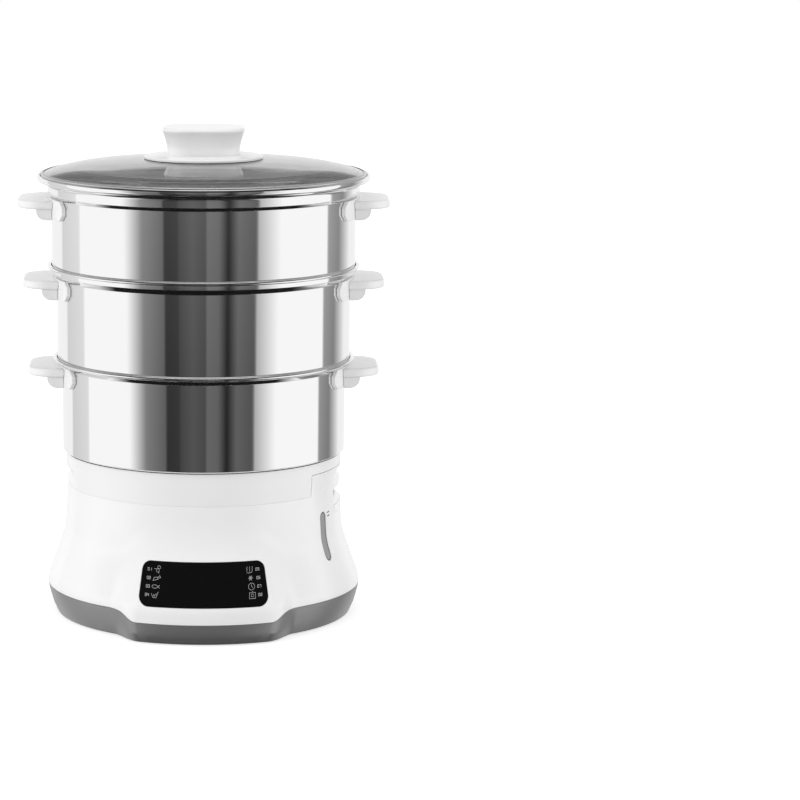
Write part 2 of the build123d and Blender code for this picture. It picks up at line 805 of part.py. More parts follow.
# ================================================================ reservoir and heater
with BuildPart() as water_reservoir:
    inside = reservoir_radius - reservoir_wall
    with BuildSketch(Plane.XZ) as reservoir_half:
        with BuildLine():
            Polyline(
                (heater_hole_radius, reservoir_floor),
                (reservoir_radius, reservoir_floor),
                (reservoir_radius, ledge_top),
                (reservoir_flange_radius, ledge_top),
                (reservoir_flange_radius, reservoir_flange_top),
                (inside, reservoir_flange_top),
                (inside, reservoir_floor_top),
                (heater_hole_radius, reservoir_floor_top),
                close=True,
            )
        make_face()
        low_corners = reservoir_half.vertices().group_by(Axis.Y)[0]
        fillet(low_corners.sort_by(Axis.X)[-1], radius=reservoir_round)
        floor_corners = reservoir_half.vertices().sort_by_distance((inside, reservoir_floor_top))
        fillet(floor_corners[0], radius=reservoir_round - reservoir_wall)
    revolve(axis=Axis.Z)
    clamp_places = polar_places(clamp_screw_circle, clamp_angles)
    with BuildSketch(Plane.XY.offset(heating_plate_bottom)):
        with Locations(*clamp_places):
            Circle(clamp_boss_radius)
    extrude(amount=reservoir_floor - heating_plate_bottom)
    with BuildSketch(Plane.XY.offset(heating_plate_bottom)):
        with Locations(*clamp_places):
            Circle(clamp_screw_radius + thread_gap)
    extrude(amount=clamp_screw_depth, mode=Mode.SUBTRACT)
export(water_reservoir.part, "water_reservoir")

with BuildPart() as heater_seal:
    with BuildSketch(Plane.XY.offset(heating_plate_top)):
        Circle(seal_radius)
        Circle(heater_hole_radius, mode=Mode.SUBTRACT)
    extrude(amount=seal_thickness)
export(heater_seal.part, "heater_seal")

with BuildPart() as heating_plate:
    with BuildSketch(Plane.XY.offset(heating_plate_bottom)):
        Circle(seal_radius)
    extrude(amount=heating_plate_thickness)
export(heating_plate.part, "heating_plate")

with BuildPart() as heater_clamp:
    with BuildSketch(Plane.XY.offset(clamp_bottom)):
        Circle(clamp_radius)
        Circle(clamp_inner_radius, mode=Mode.SUBTRACT)
        with Locations(*clamp_places):
            Circle(clamp_screw_radius + screw_clearance, mode=Mode.SUBTRACT)
    extrude(amount=clamp_thickness)
export(heater_clamp.part, "heater_clamp")

with BuildPart() as clamp_screws:
    with BuildSketch(Plane.XY.offset(clamp_bottom)):
        with Locations(*clamp_places):
            Circle(clamp_screw_radius)
    extrude(amount=clamp_thickness + clamp_screw_depth - thread_gap)
    with BuildSketch(Plane.XY.offset(clamp_bottom)):
        with Locations(*clamp_places):
            Circle(2 * clamp_screw_radius)
    extrude(amount=-clamp_screw_head)
export(clamp_screws.part, "clamp_screws")

element_height = heating_plate_bottom - thread_gap - element_tube_radius
element_start = 90 + element_gap_angle / 2
with BuildPart() as heating_element:
    start_plane = Plane.XZ.rotated((0, 0, element_start))
    with BuildSketch(start_plane):
        with Locations((element_ring_radius, element_height)):
            Circle(element_tube_radius)
    revolve(axis=Axis.Z, revolution_arc=360 - element_gap_angle)
    pins = polar_places(element_ring_radius, (element_start + pin_turn, 180 - element_start - pin_turn))
    with BuildSketch(Plane.XY.offset(element_height)):
        with Locations(*pins):
            Circle(element_pin_radius)
    extrude(amount=-(element_tube_radius + terminal_length))
export(heating_element.part, "heating_element")

with BuildPart() as thermostat:
    with BuildSketch(Plane.XY.offset(heating_plate_bottom)):
        Circle(thermostat_flange_radius)
    extrude(amount=-clamp_thickness)
    with BuildSketch(Plane.XY.offset(heating_plate_bottom - clamp_thickness)):
        Circle(thermostat_radius)
    extrude(amount=-thermostat_height)
export(thermostat.part, "thermostat")

with BuildPart() as thermal_fuse:
    fuse_height = heating_plate_bottom - thread_gap - fuse_radius
    with BuildSketch(Plane.YZ.offset(-fuse_length / 2)):
        with Locations((-fuse_offset, fuse_height)):
            Circle(fuse_radius)
    extrude(amount=fuse_length)
    fillet(thermal_fuse.edges().filter_by(GeomType.CIRCLE), radius=fuse_radius / 3)
export(thermal_fuse.part, "thermal_fuse")

with BuildPart() as steam_ring:
    with BuildSketch(Plane.XY.offset(reservoir_floor_top)):
        Circle(steam_ring_radius)
        Circle(steam_ring_radius - steam_ring_wall, mode=Mode.SUBTRACT)
    extrude(amount=steam_ring_height)
    for angle in foot_angles:
        with BuildSketch(radial_plane(angle, reservoir_floor_top)):
            Circle(steam_ring_arch)
        extrude(amount=steam_ring_radius + steam_ring_wall, mode=Mode.SUBTRACT)
export(steam_ring.part, "steam_ring")

# ================================================================ electronics
with BuildPart() as power_board:
    with BuildSketch(Plane.XY.offset(board_bottom)):
        with Locations(power_board_centre):
            Rectangle(power_board_size[0], power_board_size[1])
        with Locations(*board_corners):
            Circle(board_screw_radius + screw_clearance, mode=Mode.SUBTRACT)
    extrude(amount=power_board_size[2])
export(power_board.part, "power_board")

with BuildPart() as board_screws:
    with BuildSketch(Plane.XY.offset(board_top)):
        with Locations(*board_corners):
            Circle(2 * board_screw_radius)
    extrude(amount=board_screw_head)
    with BuildSketch(Plane.XY.offset(board_top)):
        with Locations(*board_corners):
            Circle(board_screw_radius)
    extrude(amount=-(power_board_size[2] + standoff_height - thread_gap))
export(board_screws.part, "board_screws")


def on_board(place):
    """A place on the power board, given from the board's middle."""
    return (power_board_centre[0] + place[0], power_board_centre[1] + place[1])


board_blocks = (
    ("transformer", transformer_size, transformer_place),
    ("power_relay", relay_size, relay_place),
    ("terminal_block", terminal_block_size, terminal_block_place),
)
for block_name, block_size, block_place in board_blocks:
    with BuildPart() as board_block:
        with BuildSketch(Plane.XY.offset(board_top)):
            with Locations(on_board(block_place)):
                Rectangle(block_size[0], block_size[1])
        extrude(amount=block_size[2])
        chamfer(board_block.edges().group_by(Axis.Z)[-1], length=block_chamfer)
    export(board_block.part, block_name)

with BuildPart() as buzzer:
    with BuildSketch(Plane.XY.offset(board_top)):
        with Locations(on_board(buzzer_place)):
            Circle(buzzer_radius)
    extrude(amount=buzzer_height)
    with BuildSketch(Plane.XY.offset(board_top + buzzer_height)):
        with Locations(on_board(buzzer_place)):
            Circle(buzzer_radius / 4)
    extrude(amount=-buzzer_height / 2, mode=Mode.SUBTRACT)
export(buzzer.part, "buzzer")

bracket_middle = display_board_face - display_board_size[1] / 2
bracket_half = display_board_size[0] / 2 - bracket_slot_grip + bracket_post_width
with BuildPart() as panel_bracket:
    with BuildSketch(Plane.XY.offset(plate_top)):
        with Locations((0, -bracket_middle)):
            Rectangle(2 * bracket_half, bracket_post_depth)
    extrude(amount=bracket_bar)
    with BuildSketch(Plane.XY.offset(plate_top)):
        with Locations((0, -bracket_middle)):
            with GridLocations(2 * bracket_half - bracket_post_width, 0, 2, 1):
                Rectangle(bracket_post_width, bracket_post_depth)
    extrude(amount=display_board_bottom + display_board_size[2] - plate_top)
    with BuildSketch(Plane.XY.offset(display_board_bottom)):
        with Locations((0, -bracket_middle)):
            slot_size = (display_board_size[0] + 2 * seat_gap, display_board_size[1] + 2 * seat_gap)
            Rectangle(*slot_size)
    extrude(amount=display_board_size[2], mode=Mode.SUBTRACT)
export(panel_bracket.part, "panel_bracket")

with BuildPart() as display_board:
    with BuildSketch(Plane.XY.offset(display_board_bottom)):
        with Locations((0, -bracket_middle)):
            Rectangle(display_board_size[0], display_board_size[1])
    extrude(amount=display_board_size[2])
export(display_board.part, "display_board")

with BuildPart() as display_module:
    module_low = display_board_bottom + (display_board_size[2] - display_module_size[2]) / 2
    with BuildSketch(Plane.XY.offset(module_low)):
        with Locations((0, -display_board_face - display_module_size[1] / 2)):
            Rectangle(display_module_size[0], display_module_size[1])
    extrude(amount=display_module_size[2])
export(display_module.part, "display_module")

# ================================================================ juice collector
with BuildPart() as juice_collector:
    locating_radius = seam_radius - base_wall - locating_clearance
    locating_inner = locating_radius - locating_wall
    seam_inner = seam_radius - collector_wall
    root_top = seam_height + locating_root
    root_inner = seam_inner + collector_slope * (root_top - seam_height)
    with BuildSketch(Plane.XZ):
        with BuildLine():
            Polyline(
                (locating_inner, seam_height - locating_depth),
                (locating_radius, seam_height - locating_depth),
                (locating_radius, seam_height),
                (seam_radius, seam_height),
                (collector_top_radius, tray_flange_bottom),
                (collector_top_radius, collector_top),
                (collector_inner_radius, collector_top - ledge_rise * collector_wall),
                (collector_inner_radius, tray_flange_top),
                (tray_radius - tray_wall, tray_flange_top),
                (tray_radius - tray_wall, tray_top),
                (chimney_radius, tray_top),
                (chimney_radius, tray_top + chimney_height),
                (chimney_radius - tray_wall, tray_top + chimney_height),
                (chimney_radius - tray_wall, tray_floor),
                (tray_radius, tray_floor),
                (tray_radius, tray_flange_bottom),
                (collector_inner_radius, tray_flange_bottom),
                (root_inner, root_top + locating_wall),
                (locating_inner, root_top),
                close=True,
            )
        make_face()
    revolve(axis=Axis.Z)
    # room for the base's tongue and the way in for water
    around_tongue = tongue_half_angle + degrees(lift_gap / seam_radius)
    tongue_low = seam_height - 2 * locating_depth
    tongue_space = (tongue_low, tray_flange_bottom, 0, around_tongue)
    add(sector(tray_radius, belly_radius, *tongue_space), mode=Mode.SUBTRACT)
    # finger groove on the left
    groove_block = (seam_height, tray_flange_bottom, 180, block_half_angle)
    groove_inner = seam_radius - groove_depth - collector_wall
    add(sector(groove_inner, belly_radius, *groove_block) & collector_form(seat_gap))
    groove = (groove_low, groove_height, groove_high, groove_depth)
    add(groove_cutter(seam_radius, *groove, 180, groove_half_angle), mode=Mode.SUBTRACT)
export(juice_collector.part, "juice_collector")


# ================================================================ bowls and their handles
def make_bowl(bowl):
    """One steel bowl: perforated floor, spigot, shoulder, wall, ledge, collar and rim."""
    with BuildPart() as piece:
        with BuildSketch(Plane.XZ):
            with BuildLine():
                outline = [
                    (0, bowl.floor),
                    (bowl.spigot_radius, bowl.floor),
                    (bowl.spigot_radius, bowl.shoulder_low),
                    (bowl.radius, bowl.wall_low),
                    (bowl.radius, bowl.wall_high),
                    (bowl.collar_radius, bowl.collar_low),
                    (bowl.collar_radius, bowl.collar_high),
                    *bowl.flare,
                ]
                Polyline(*outline)
                offset(amount=steel, side=Side.LEFT)
            make_face()
            rim_end = outline[-1]
            with Locations((rim_end[0] - steel + rim_bead, rim_end[1])):
                Circle(rim_bead)
        revolve(axis=Axis.Z)
        with BuildSketch(Plane.XY.offset(bowl.floor + steel)):
            with PolarLocations(egg_circle, 4):
                Circle(egg_ring_radius)
                Circle(egg_ring_radius - egg_ring_width, mode=Mode.SUBTRACT)
        extrude(amount=egg_ring_rise)
        with BuildSketch(Plane.XY.offset(bowl.floor)):
            Circle(centre_hole_radius)
            with PolarLocations(centre_hole_circle, 6):
                Circle(centre_hole_radius)
            with PolarLocations(egg_circle, 4):
                Circle(egg_hole_radius)
                with PolarLocations(egg_outer_hole_circle, egg_outer_hole_count):
                    Circle(egg_hole_radius)
                with PolarLocations(egg_inner_hole_circle, egg_inner_hole_count):
                    Circle(egg_hole_radius)
            with PolarLocations(edge_hole_circle, 4, start_angle=45):
                Circle(egg_hole_radius)
        extrude(amount=steel, mode=Mode.SUBTRACT)
        for angle in screw_angles:
            with BuildSketch(radial_plane(angle, bowl.screw_height)):
                Circle(handle_screw_radius + screw_clearance)
            extrude(amount=2 * bowl.radius, mode=Mode.SUBTRACT)
    return piece.part


def make_grip(bowl):
    """The right-hand grip: a flat tab with a turned-down lip on a block."""
    root = bowl.radius - handle_plate_thickness
    tip = bowl.radius + handle_reach
    block_face = bowl.radius + handle_block_reach
    top = bowl.plate_top - handle_drop
    with BuildPart() as piece:
        with BuildSketch(Plane.XY.offset(top)):
            with Locations(((root + tip) / 2, 0)):
                outline = Rectangle(tip - root, handle_width)
            fillet(outline.vertices().group_by(Axis.X)[-1], radius=handle_corner)
        extrude(amount=-handle_lip_height)
        fillet(piece.edges().group_by(Axis.Z)[-1], radius=handle_edge_round)
        fillet(piece.edges().group_by(Axis.Z)[0], radius=handle_edge_round)
        # finger pocket under the tab
        with BuildSketch(Plane.XY.offset(top - handle_tab)):
            pocket_reach = tip - handle_lip - block_face
            with Locations((block_face + pocket_reach / 2, 0)):
                pocket = Rectangle(pocket_reach, handle_width - 2 * handle_lip)
            pocket_round = min(handle_corner - handle_lip, pocket_reach - seat_gap)
            fillet(pocket.vertices().group_by(Axis.X)[-1], radius=pocket_round)
        extrude(amount=-handle_lip_height, mode=Mode.SUBTRACT)
    with BuildPart() as block:
        with BuildSketch(Plane.XY.offset(top - handle_tab / 2)):
            with Locations(((root + block_face) / 2, 0)):
                Rectangle(block_face - root, handle_width - 2 * handle_edge_round)
        extrude(amount=-(handle_block_height - handle_tab / 2))
        lower_outer = block.edges().group_by(Axis.Z)[0].filter_by(Axis.Y).sort_by(Axis.X)[-1]
        fillet(lower_outer, radius=handle_block_round)
    with BuildPart() as grip:
        add(piece.part)
        add(block.part)
        plate_space = bowl.radius + handle_plate_thickness + 2 * seat_gap
        with BuildSketch(Plane.XY.offset(bowl.plate_top)):
            Circle(plate_space)
        extrude(amount=-2 * handle_block_height, mode=Mode.SUBTRACT)
        for angle in (-handle_screw_angle, handle_screw_angle):
            with BuildSketch(radial_plane(angle, bowl.screw_height)):
                Circle(handle_screw_radius + thread_gap)
            screw_end = bowl.radius + handle_screw_length + thread_gap
            extrude(amount=screw_end, mode=Mode.SUBTRACT)
    return grip.part


def make_handle_plate(bowl):
    """The right-hand wall plate: a bent strip with clipped corners."""
    inner = bowl.radius + seat_gap
    outer = inner + handle_plate_thickness
    middle = bowl.plate_top - handle_plate_height / 2
    width = 2 * outer * sin(radians(handle_plate_half_angle))
    with BuildPart() as piece:
        with BuildSketch(Plane.XY.offset(bowl.plate_top)):
            Circle(outer)
            Circle(inner, mode=Mode.SUBTRACT)
        extrude(amount=-handle_plate_height)
        with BuildSketch(radial_plane(0, middle)):
            face = Rectangle(width, handle_plate_height)
            chamfer(face.vertices(), length=handle_plate_corner)
        extrude(amount=2 * outer, mode=Mode.INTERSECT)
        for angle in (-handle_screw_angle, handle_screw_angle):
            with BuildSketch(radial_plane(angle, bowl.screw_height)):
                Circle(handle_screw_radius + screw_clearance)
            extrude(amount=2 * outer, mode=Mode.SUBTRACT)
    return piece.part


def make_handle_screws(bowl):
    """Four screws, put in from the inside of the bowl."""
    head_face = bowl.radius - steel - seat_gap
    with BuildPart() as piece:
        for angle in screw_angles:
            with BuildSketch(radial_plane(angle, bowl.screw_height, head_face)):
                Circle(screw_head_radius)
            extrude(amount=-screw_head)
            with BuildSketch(radial_plane(angle, bowl.screw_height, head_face)):
                Circle(handle_screw_radius)
            extrude(amount=bowl.radius + handle_screw_length - head_face)
    return piece.part


for bowl in bowls:
    export(make_bowl(bowl), f"{bowl.name}_bowl")
    export(make_handle_screws(bowl), f"{bowl.name}_handle_screws")
    for side, turn in (("right", 0), ("left", 180)):
        export(make_grip(bowl).rotate(Axis.Z, turn), f"{bowl.name}_grip_{side}")
        export(make_handle_plate(bowl).rotate(Axis.Z, turn), f"{bowl.name}_handle_plate_{side}")

# ================================================================ lid
flare_rise = top_flare_rise / (top_flare_radius - top.collar_radius)
flare_inside = (steel + lift_gap) * sqrt(1 + flare_rise**2)
lid_rim_radius = top_flare_radius - steel - lid_clearance
lid_radius = lid_rim_radius - lid_rim_width
lid_shoulder_radius = lid_radius - lid_shoulder_inset
lid_seat = top.collar_high + flare_rise * (lid_rim_radius - top.collar_radius)
lid_rim_bottom = lid_seat + flare_inside
glass_edge_bottom = lid_rim_bottom + lid_rim_wall + seat_gap
glass_edge_top = glass_edge_bottom + glass
crown_top = glass_edge_top + lid_crown_rise
shoulder_top = glass_edge_top + lid_shoulder_rise
crown_drop = crown_top - shoulder_top
crown_radius = (lid_shoulder_radius**2 + crown_drop**2) / (2 * crown_drop)
crown_tangent = (sqrt(crown_radius**2 - lid_shoulder_radius**2), -lid_shoulder_radius)
plate_seat_radius = knob_plate_radius - knob_plate_contact
plate_seat = crown_top - crown_radius + sqrt(crown_radius**2 - plate_seat_radius**2) + seat_gap
plate_edge_top = plate_seat + knob_plate_edge
knob_base = plate_edge_top + knob_plate_rise
plate_recess = crown_top + thread_gap + knob_gasket

with BuildPart() as lid_glass:
    with BuildSketch(Plane.XZ):
        with BuildLine():
            for drop in (0, glass):
                crown_start = (0, crown_top - drop)
                crown_end = (lid_shoulder_radius, shoulder_top - drop)
                TangentArc(crown_start, crown_end, tangent=(1, 0))
                TangentArc(crown_end, (lid_radius, glass_edge_top - drop), tangent=crown_tangent)
            Line((0, crown_top), (0, crown_top - glass))
            Line((lid_radius, glass_edge_top), (lid_radius, glass_edge_bottom))
        make_face()
    revolve(axis=Axis.Z)
    with BuildSketch(Plane.XY.offset(glass_edge_bottom)):
        Circle(knob_screw_radius + screw_clearance)
    extrude(amount=lid_crown_rise + glass, mode=Mode.SUBTRACT)
export(lid_glass.part, "lid_glass")

with BuildPart() as lid_rim:
    lip_radius = lid_radius - lid_rim_lip
    lip_slope = lid_shoulder_rise / (lid_radius - lid_shoulder_radius) * lid_rim_lip_steepness
    lip_top = glass_edge_top + lip_slope * lid_rim_lip + seat_gap
    with BuildSketch(Plane.XZ):
        with BuildLine():
            Polyline(
                (lip_radius, lid_rim_bottom),
                (lid_rim_radius, lid_rim_bottom),
                (lid_rim_radius, glass_edge_top + seat_gap),
                (lid_radius, glass_edge_top + seat_gap + lid_rim_wall),
                (lip_radius, lip_top + lid_rim_wall),
                (lip_radius, lip_top),
                (lid_radius + seat_gap, glass_edge_top + seat_gap),
                (lid_radius + seat_gap, lid_rim_bottom + lid_rim_wall),
                (lip_radius, lid_rim_bottom + lid_rim_wall),
                close=True,
            )
        make_face()
    revolve(axis=Axis.Z)
export(lid_rim.part, "lid_rim")

with BuildPart() as knob_plate:
    with BuildSketch(Plane.XZ):
        with BuildLine():
            Polyline(
                (0, plate_recess),
                (knob_gasket_radius + knob_plate_recess, plate_recess),
                (plate_seat_radius - knob_plate_recess, plate_seat + knob_plate_recess),
                (plate_seat_radius, plate_seat),
                (knob_plate_radius, plate_seat),
                (knob_plate_radius, plate_edge_top - knob_plate_edge / 3),
                (knob_plate_radius - knob_plate_edge / 3, plate_edge_top),
                (knob_plate_flat, knob_base),
                (0, knob_base),
                close=True,
            )
        make_face()
    revolve(axis=Axis.Z)
    with BuildSketch(Plane.XY.offset(plate_seat)):
        Circle(knob_screw_radius + screw_clearance)
    extrude(amount=2 * (knob_base - plate_seat), mode=Mode.SUBTRACT)
export(knob_plate.part, "knob_plate")

with BuildPart() as gasket:
    with BuildSketch(Plane.XY.offset(crown_top + thread_gap)):
        Circle(knob_gasket_radius)
        Circle(knob_gasket_hole, mode=Mode.SUBTRACT)
    extrude(amount=knob_gasket)
export(gasket.part, "knob_gasket")

with BuildPart() as lid_knob:
    neck_top = knob_base + knob_neck_height
    flare_middle = neck_top + knob_flare_middle_share * knob_flare_height
    flare_end = neck_top + knob_flare_height
    middle_corner = (knob_neck_corner + knob_top_corner) / 2
    with BuildSketch(Plane.XY.offset(knob_base)):
        RectangleRounded(knob_neck_width, knob_neck_width, knob_neck_corner)
    extrude(amount=knob_neck_height)
    with BuildSketch(Plane.XY.offset(neck_top)):
        RectangleRounded(knob_neck_width, knob_neck_width, knob_neck_corner)
    with BuildSketch(Plane.XY.offset(flare_middle)):
        RectangleRounded(knob_flare_middle_width, knob_flare_middle_width, middle_corner)
    with BuildSketch(Plane.XY.offset(flare_end)):
        RectangleRounded(knob_top_width, knob_top_width, knob_top_corner)
    loft()
    with BuildSketch(Plane.XY.offset(flare_end)):
        RectangleRounded(knob_top_width, knob_top_width, knob_top_corner)
    extrude(amount=knob_crown)
    fillet(lid_knob.edges().group_by(Axis.Z)[-1], radius=knob_crown - seat_gap)
    with BuildSketch(Plane.XY.offset(knob_base)):
        Circle(knob_screw_radius + thread_gap)
    extrude(amount=knob_screw_depth, mode=Mode.SUBTRACT)
export(lid_knob.part, "lid_knob")

glass_underside = crown_top - glass
with BuildPart() as knob_washer:
    with BuildSketch(Plane.XY.offset(glass_underside - thread_gap)):
        Circle(knob_washer_radius)
        Circle(knob_screw_radius + screw_clearance, mode=Mode.SUBTRACT)
    extrude(amount=-knob_washer_thickness)
export(knob_washer.part, "knob_washer")

with BuildPart() as knob_screw:
    head_top = glass_underside - thread_gap - knob_washer_thickness
    with BuildSketch(Plane.XY.offset(head_top)):
        Circle(knob_screw_head_radius)
    extrude(amount=-knob_screw_head)
    with BuildSketch(Plane.XY.offset(head_top)):
        Circle(knob_screw_radius)
    extrude(amount=knob_base + knob_screw_depth - thread_gap - head_top)
export(knob_screw.part, "knob_screw")
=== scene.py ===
"""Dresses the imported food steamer: fine shapes, finishes, print, studio and camera."""

import json
import logging
import math
from collections.abc import Callable, Iterable, Sequence
from dataclasses import dataclass
from enum import Enum

import bmesh
import bpy
from mathutils import Matrix, Vector

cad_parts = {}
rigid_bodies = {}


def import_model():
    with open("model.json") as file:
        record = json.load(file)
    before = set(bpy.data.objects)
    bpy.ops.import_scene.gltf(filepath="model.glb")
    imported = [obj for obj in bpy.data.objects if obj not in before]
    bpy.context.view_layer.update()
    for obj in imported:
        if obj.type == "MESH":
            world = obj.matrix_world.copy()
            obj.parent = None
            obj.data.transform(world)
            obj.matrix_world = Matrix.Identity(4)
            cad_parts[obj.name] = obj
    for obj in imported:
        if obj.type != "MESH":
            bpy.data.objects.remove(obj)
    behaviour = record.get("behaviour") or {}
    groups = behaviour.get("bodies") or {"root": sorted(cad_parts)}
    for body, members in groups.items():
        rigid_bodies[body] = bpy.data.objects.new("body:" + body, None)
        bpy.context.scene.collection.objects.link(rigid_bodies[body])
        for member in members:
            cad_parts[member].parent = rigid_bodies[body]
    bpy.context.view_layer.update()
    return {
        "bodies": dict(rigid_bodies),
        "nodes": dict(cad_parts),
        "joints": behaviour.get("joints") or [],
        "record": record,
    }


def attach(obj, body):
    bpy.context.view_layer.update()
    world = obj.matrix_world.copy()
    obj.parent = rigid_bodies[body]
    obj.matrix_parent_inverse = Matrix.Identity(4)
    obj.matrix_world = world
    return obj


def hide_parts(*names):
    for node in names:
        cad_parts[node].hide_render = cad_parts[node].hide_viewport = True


MM = 0.001
SCREEN_GAMMA = 2.2
TURN_STEPS = 240
DOUBLES = 1e-7
MERGE = 1e-6
SOFT_ANGLE = 35.0
COPY_ANGLE = 32.0
KNOB_ANGLE = 50.0
SHARP_ANGLE = 60.0
SHARED_SLOTS = {
    "bowl_steel_inside": "bowl_steel",
    "panel_print": "white_plastic",
    "gauge_print": "grey_plastic",
}
LOG = logging.getLogger("steamer")

Point = tuple[float, float]
Place = tuple[float, float, float]
Colour = tuple[float, float, float]
Socket = bpy.types.NodeSocket


def grey(level: float) -> Colour:
    """Return a neutral colour from its screen level, 0 to 255."""
    linear = (level / 255) ** SCREEN_GAMMA
    return (linear, linear, linear)


WHITE_LIGHT = grey(255)


# ------------------------------------------------------------------ material graph
class Graph:
    """A small wrapper that adds and links nodes of one material or world."""

    def __init__(self, tree: bpy.types.NodeTree) -> None:
        """Keep the tree and start it empty."""
        self.tree = tree
        tree.nodes.clear()

    def add(self, kind: str, **values: object) -> bpy.types.Node:
        """Add a node, set its properties, and set or link its inputs.

        Args:
            kind: the node's type name, such as ShaderNodeBump.
            values: properties by name, or inputs by name with _ for a space.

        Returns:
            The new node.
        """
        node = self.tree.nodes.new(kind)
        for key, value in values.items():
            if hasattr(node, key):
                setattr(node, key, value)
            else:
                self.feed(node, key.replace("_", " "), value)
        return node

    def feed(self, node: bpy.types.Node, socket: str | int, value: object) -> None:
        """Set an input of a node, or link an output to it.

        Args:
            node: the node that has the input.
            socket: the input's name or number.
            value: a constant, or the output socket to link.
        """
        target = node.inputs[socket]
        if isinstance(value, Socket):
            self.tree.links.new(value, target)
        elif isinstance(value, tuple) and len(value) == 3 and len(target.default_value) == 4:
            target.default_value = (*value, 1.0)
        else:
            target.default_value = value

    def place(self) -> Socket:
        """Return the object's own coordinates."""
        return self.add("ShaderNodeTexCoord").outputs["Object"]

    def noise(self, where: Socket, scale: float, detail: float = 3.0) -> Socket:
        """Add a noise texture and return its factor."""
        node = self.add("ShaderNodeTexNoise", Vector=where, Scale=scale, Detail=detail)
        return node.outputs["Fac"]

    def spread(self, value: Socket, low: float, high: float) -> Socket:
        """Map a factor from 0..1 to low..high."""
        node = self.add("ShaderNodeMapRange", Value=value, To_Min=low, To_Max=high)
        return node.outputs["Result"]

    def share(self, value: Socket, low: float, high: float) -> Socket:
        """Map a value from low..high to 0..1."""
        node = self.add("ShaderNodeMapRange", Value=value, From_Min=low, From_Max=high)
        return node.outputs["Result"]

    def blend(self, factor: Socket, first: Colour | Socket, second: Colour | Socket) -> Socket:
        """Blend two colours.

        Args:
            factor: 0 for the first colour and 1 for the second.
            first: the first colour.
            second: the second colour.

        Returns:
            The blended colour.
        """
        factor_input, first_input, second_input, colour_output = 0, 6, 7, 2
        node = self.add("ShaderNodeMix", data_type="RGBA")
        self.feed(node, factor_input, factor)
        self.feed(node, first_input, first)
        self.feed(node, second_input, second)
        return node.outputs[colour_output]

    def pair(self, kind: str, first: object, second: object, **values: object) -> bpy.types.Node:
        """Add a node whose two main inputs are its last ones.

        Args:
            kind: the node's type name.
            first: the value or output for the last input but one.
            second: the value or output for the last input.
            values: the node's properties and other inputs.

        Returns:
            The new node.
        """
        node = self.add(kind, **values)
        last = len(node.inputs) - 1
        self.feed(node, last - 1, first)
        self.feed(node, last, second)
        return node

    def maths(self, operation: str, first: object, second: object = 0.0) -> Socket:
        """Work out a sum, a product or another result of two values.

        Args:
            operation: the node's name for what it does, such as MULTIPLY.
            first: the first value or output.
            second: the second value or output.

        Returns:
            The result.
        """
        node = self.add("ShaderNodeMath", operation=operation)
        self.feed(node, 0, first)
        self.feed(node, 1, second)
        return node.outputs[0]

    def soft_edges(self, radius: float) -> Socket:
        """Return normals that round the piece's edges by a radius in millimetres."""
        return self.add("ShaderNodeBevel", samples=4, Radius=radius * MM).outputs["Normal"]

    def bump(self, height: Socket, depth: float, edge: float) -> Socket:
        """Turn a height into a bumped normal on softened edges.

        Args:
            height: what the bump follows, from 0 to 1.
            depth: the bump's depth, in millimetres.
            edge: the rounding of the piece's edges, in millimetres.

        Returns:
            The normal.
        """
        node = self.add("ShaderNodeBump", Height=height, Distance=depth * MM)
        self.feed(node, "Normal", self.soft_edges(edge))
        return node.outputs["Normal"]

    def ramp(self, factor: Socket, stops: Sequence[Point]) -> Socket:
        """Turn a factor into a level by stops.

        Args:
            factor: what the ramp reads, from 0 to 1.
            stops: each stop's position and level, in rising order.

        Returns:
            The level.
        """
        node = self.add("ShaderNodeValToRGB", Fac=factor)
        elements = node.color_ramp.elements
        elements.remove(elements[-1])
        for index, (position, level) in enumerate(stops):
            element = elements[0] if index == 0 else elements.new(position)
            element.position = position
            element.color = (level, level, level, 1.0)
        return node.outputs["Color"]

    def principled(self, **inputs: object) -> None:
        """End a material in one principled shader with these inputs."""
        shader = self.add("ShaderNodeBsdfPrincipled", **inputs)
        self.add("ShaderNodeOutputMaterial", Surface=shader.outputs[0])


def new_material(name: str) -> tuple[bpy.types.Material, Graph]:
    """Make an empty node material.

    Args:
        name: the finish's name.

    Returns:
        The material and its graph.
    """
    material = bpy.data.materials.new(f"{name}_finish")
    material.use_nodes = True
    return material, Graph(material.node_tree)


@dataclass(frozen=True)
class Plastic:
    """Moulded plastic: fine orange peel, slight cloudiness and rounded edges."""

    name: str
    colour: Colour
    shade: Colour
    roughness: float
    grain: float
    depth: float
    edge: float = 0.5
    coat: float = 0.0
    glow: float = 0.0
    shine: float = 0.5
    metal: float = 0.0
    cloud: float = 14.0
    wear: float = 60.0

    def build(self) -> bpy.types.Material:
        """Build the finish.

        Returns:
            Its material.
        """
        material, graph = new_material(self.name)
        where = graph.place()
        cloud = graph.spread(graph.noise(where, self.cloud, 2.0), 0.0, 0.9)
        wear = graph.noise(where, self.wear, 4.0)
        graph.principled(
            Base_Color=graph.blend(cloud, self.colour, self.shade),
            Roughness=graph.spread(wear, self.roughness * 0.8, self.roughness * 1.25),
            Normal=graph.bump(graph.noise(where, self.grain, 2.0), self.depth, self.edge),
            Metallic=self.metal,
            Specular_IOR_Level=self.shine,
            Coat_Weight=self.coat,
            Coat_Roughness=0.08,
            Subsurface_Weight=self.glow,
            Subsurface_Scale=0.004,
        )
        return material


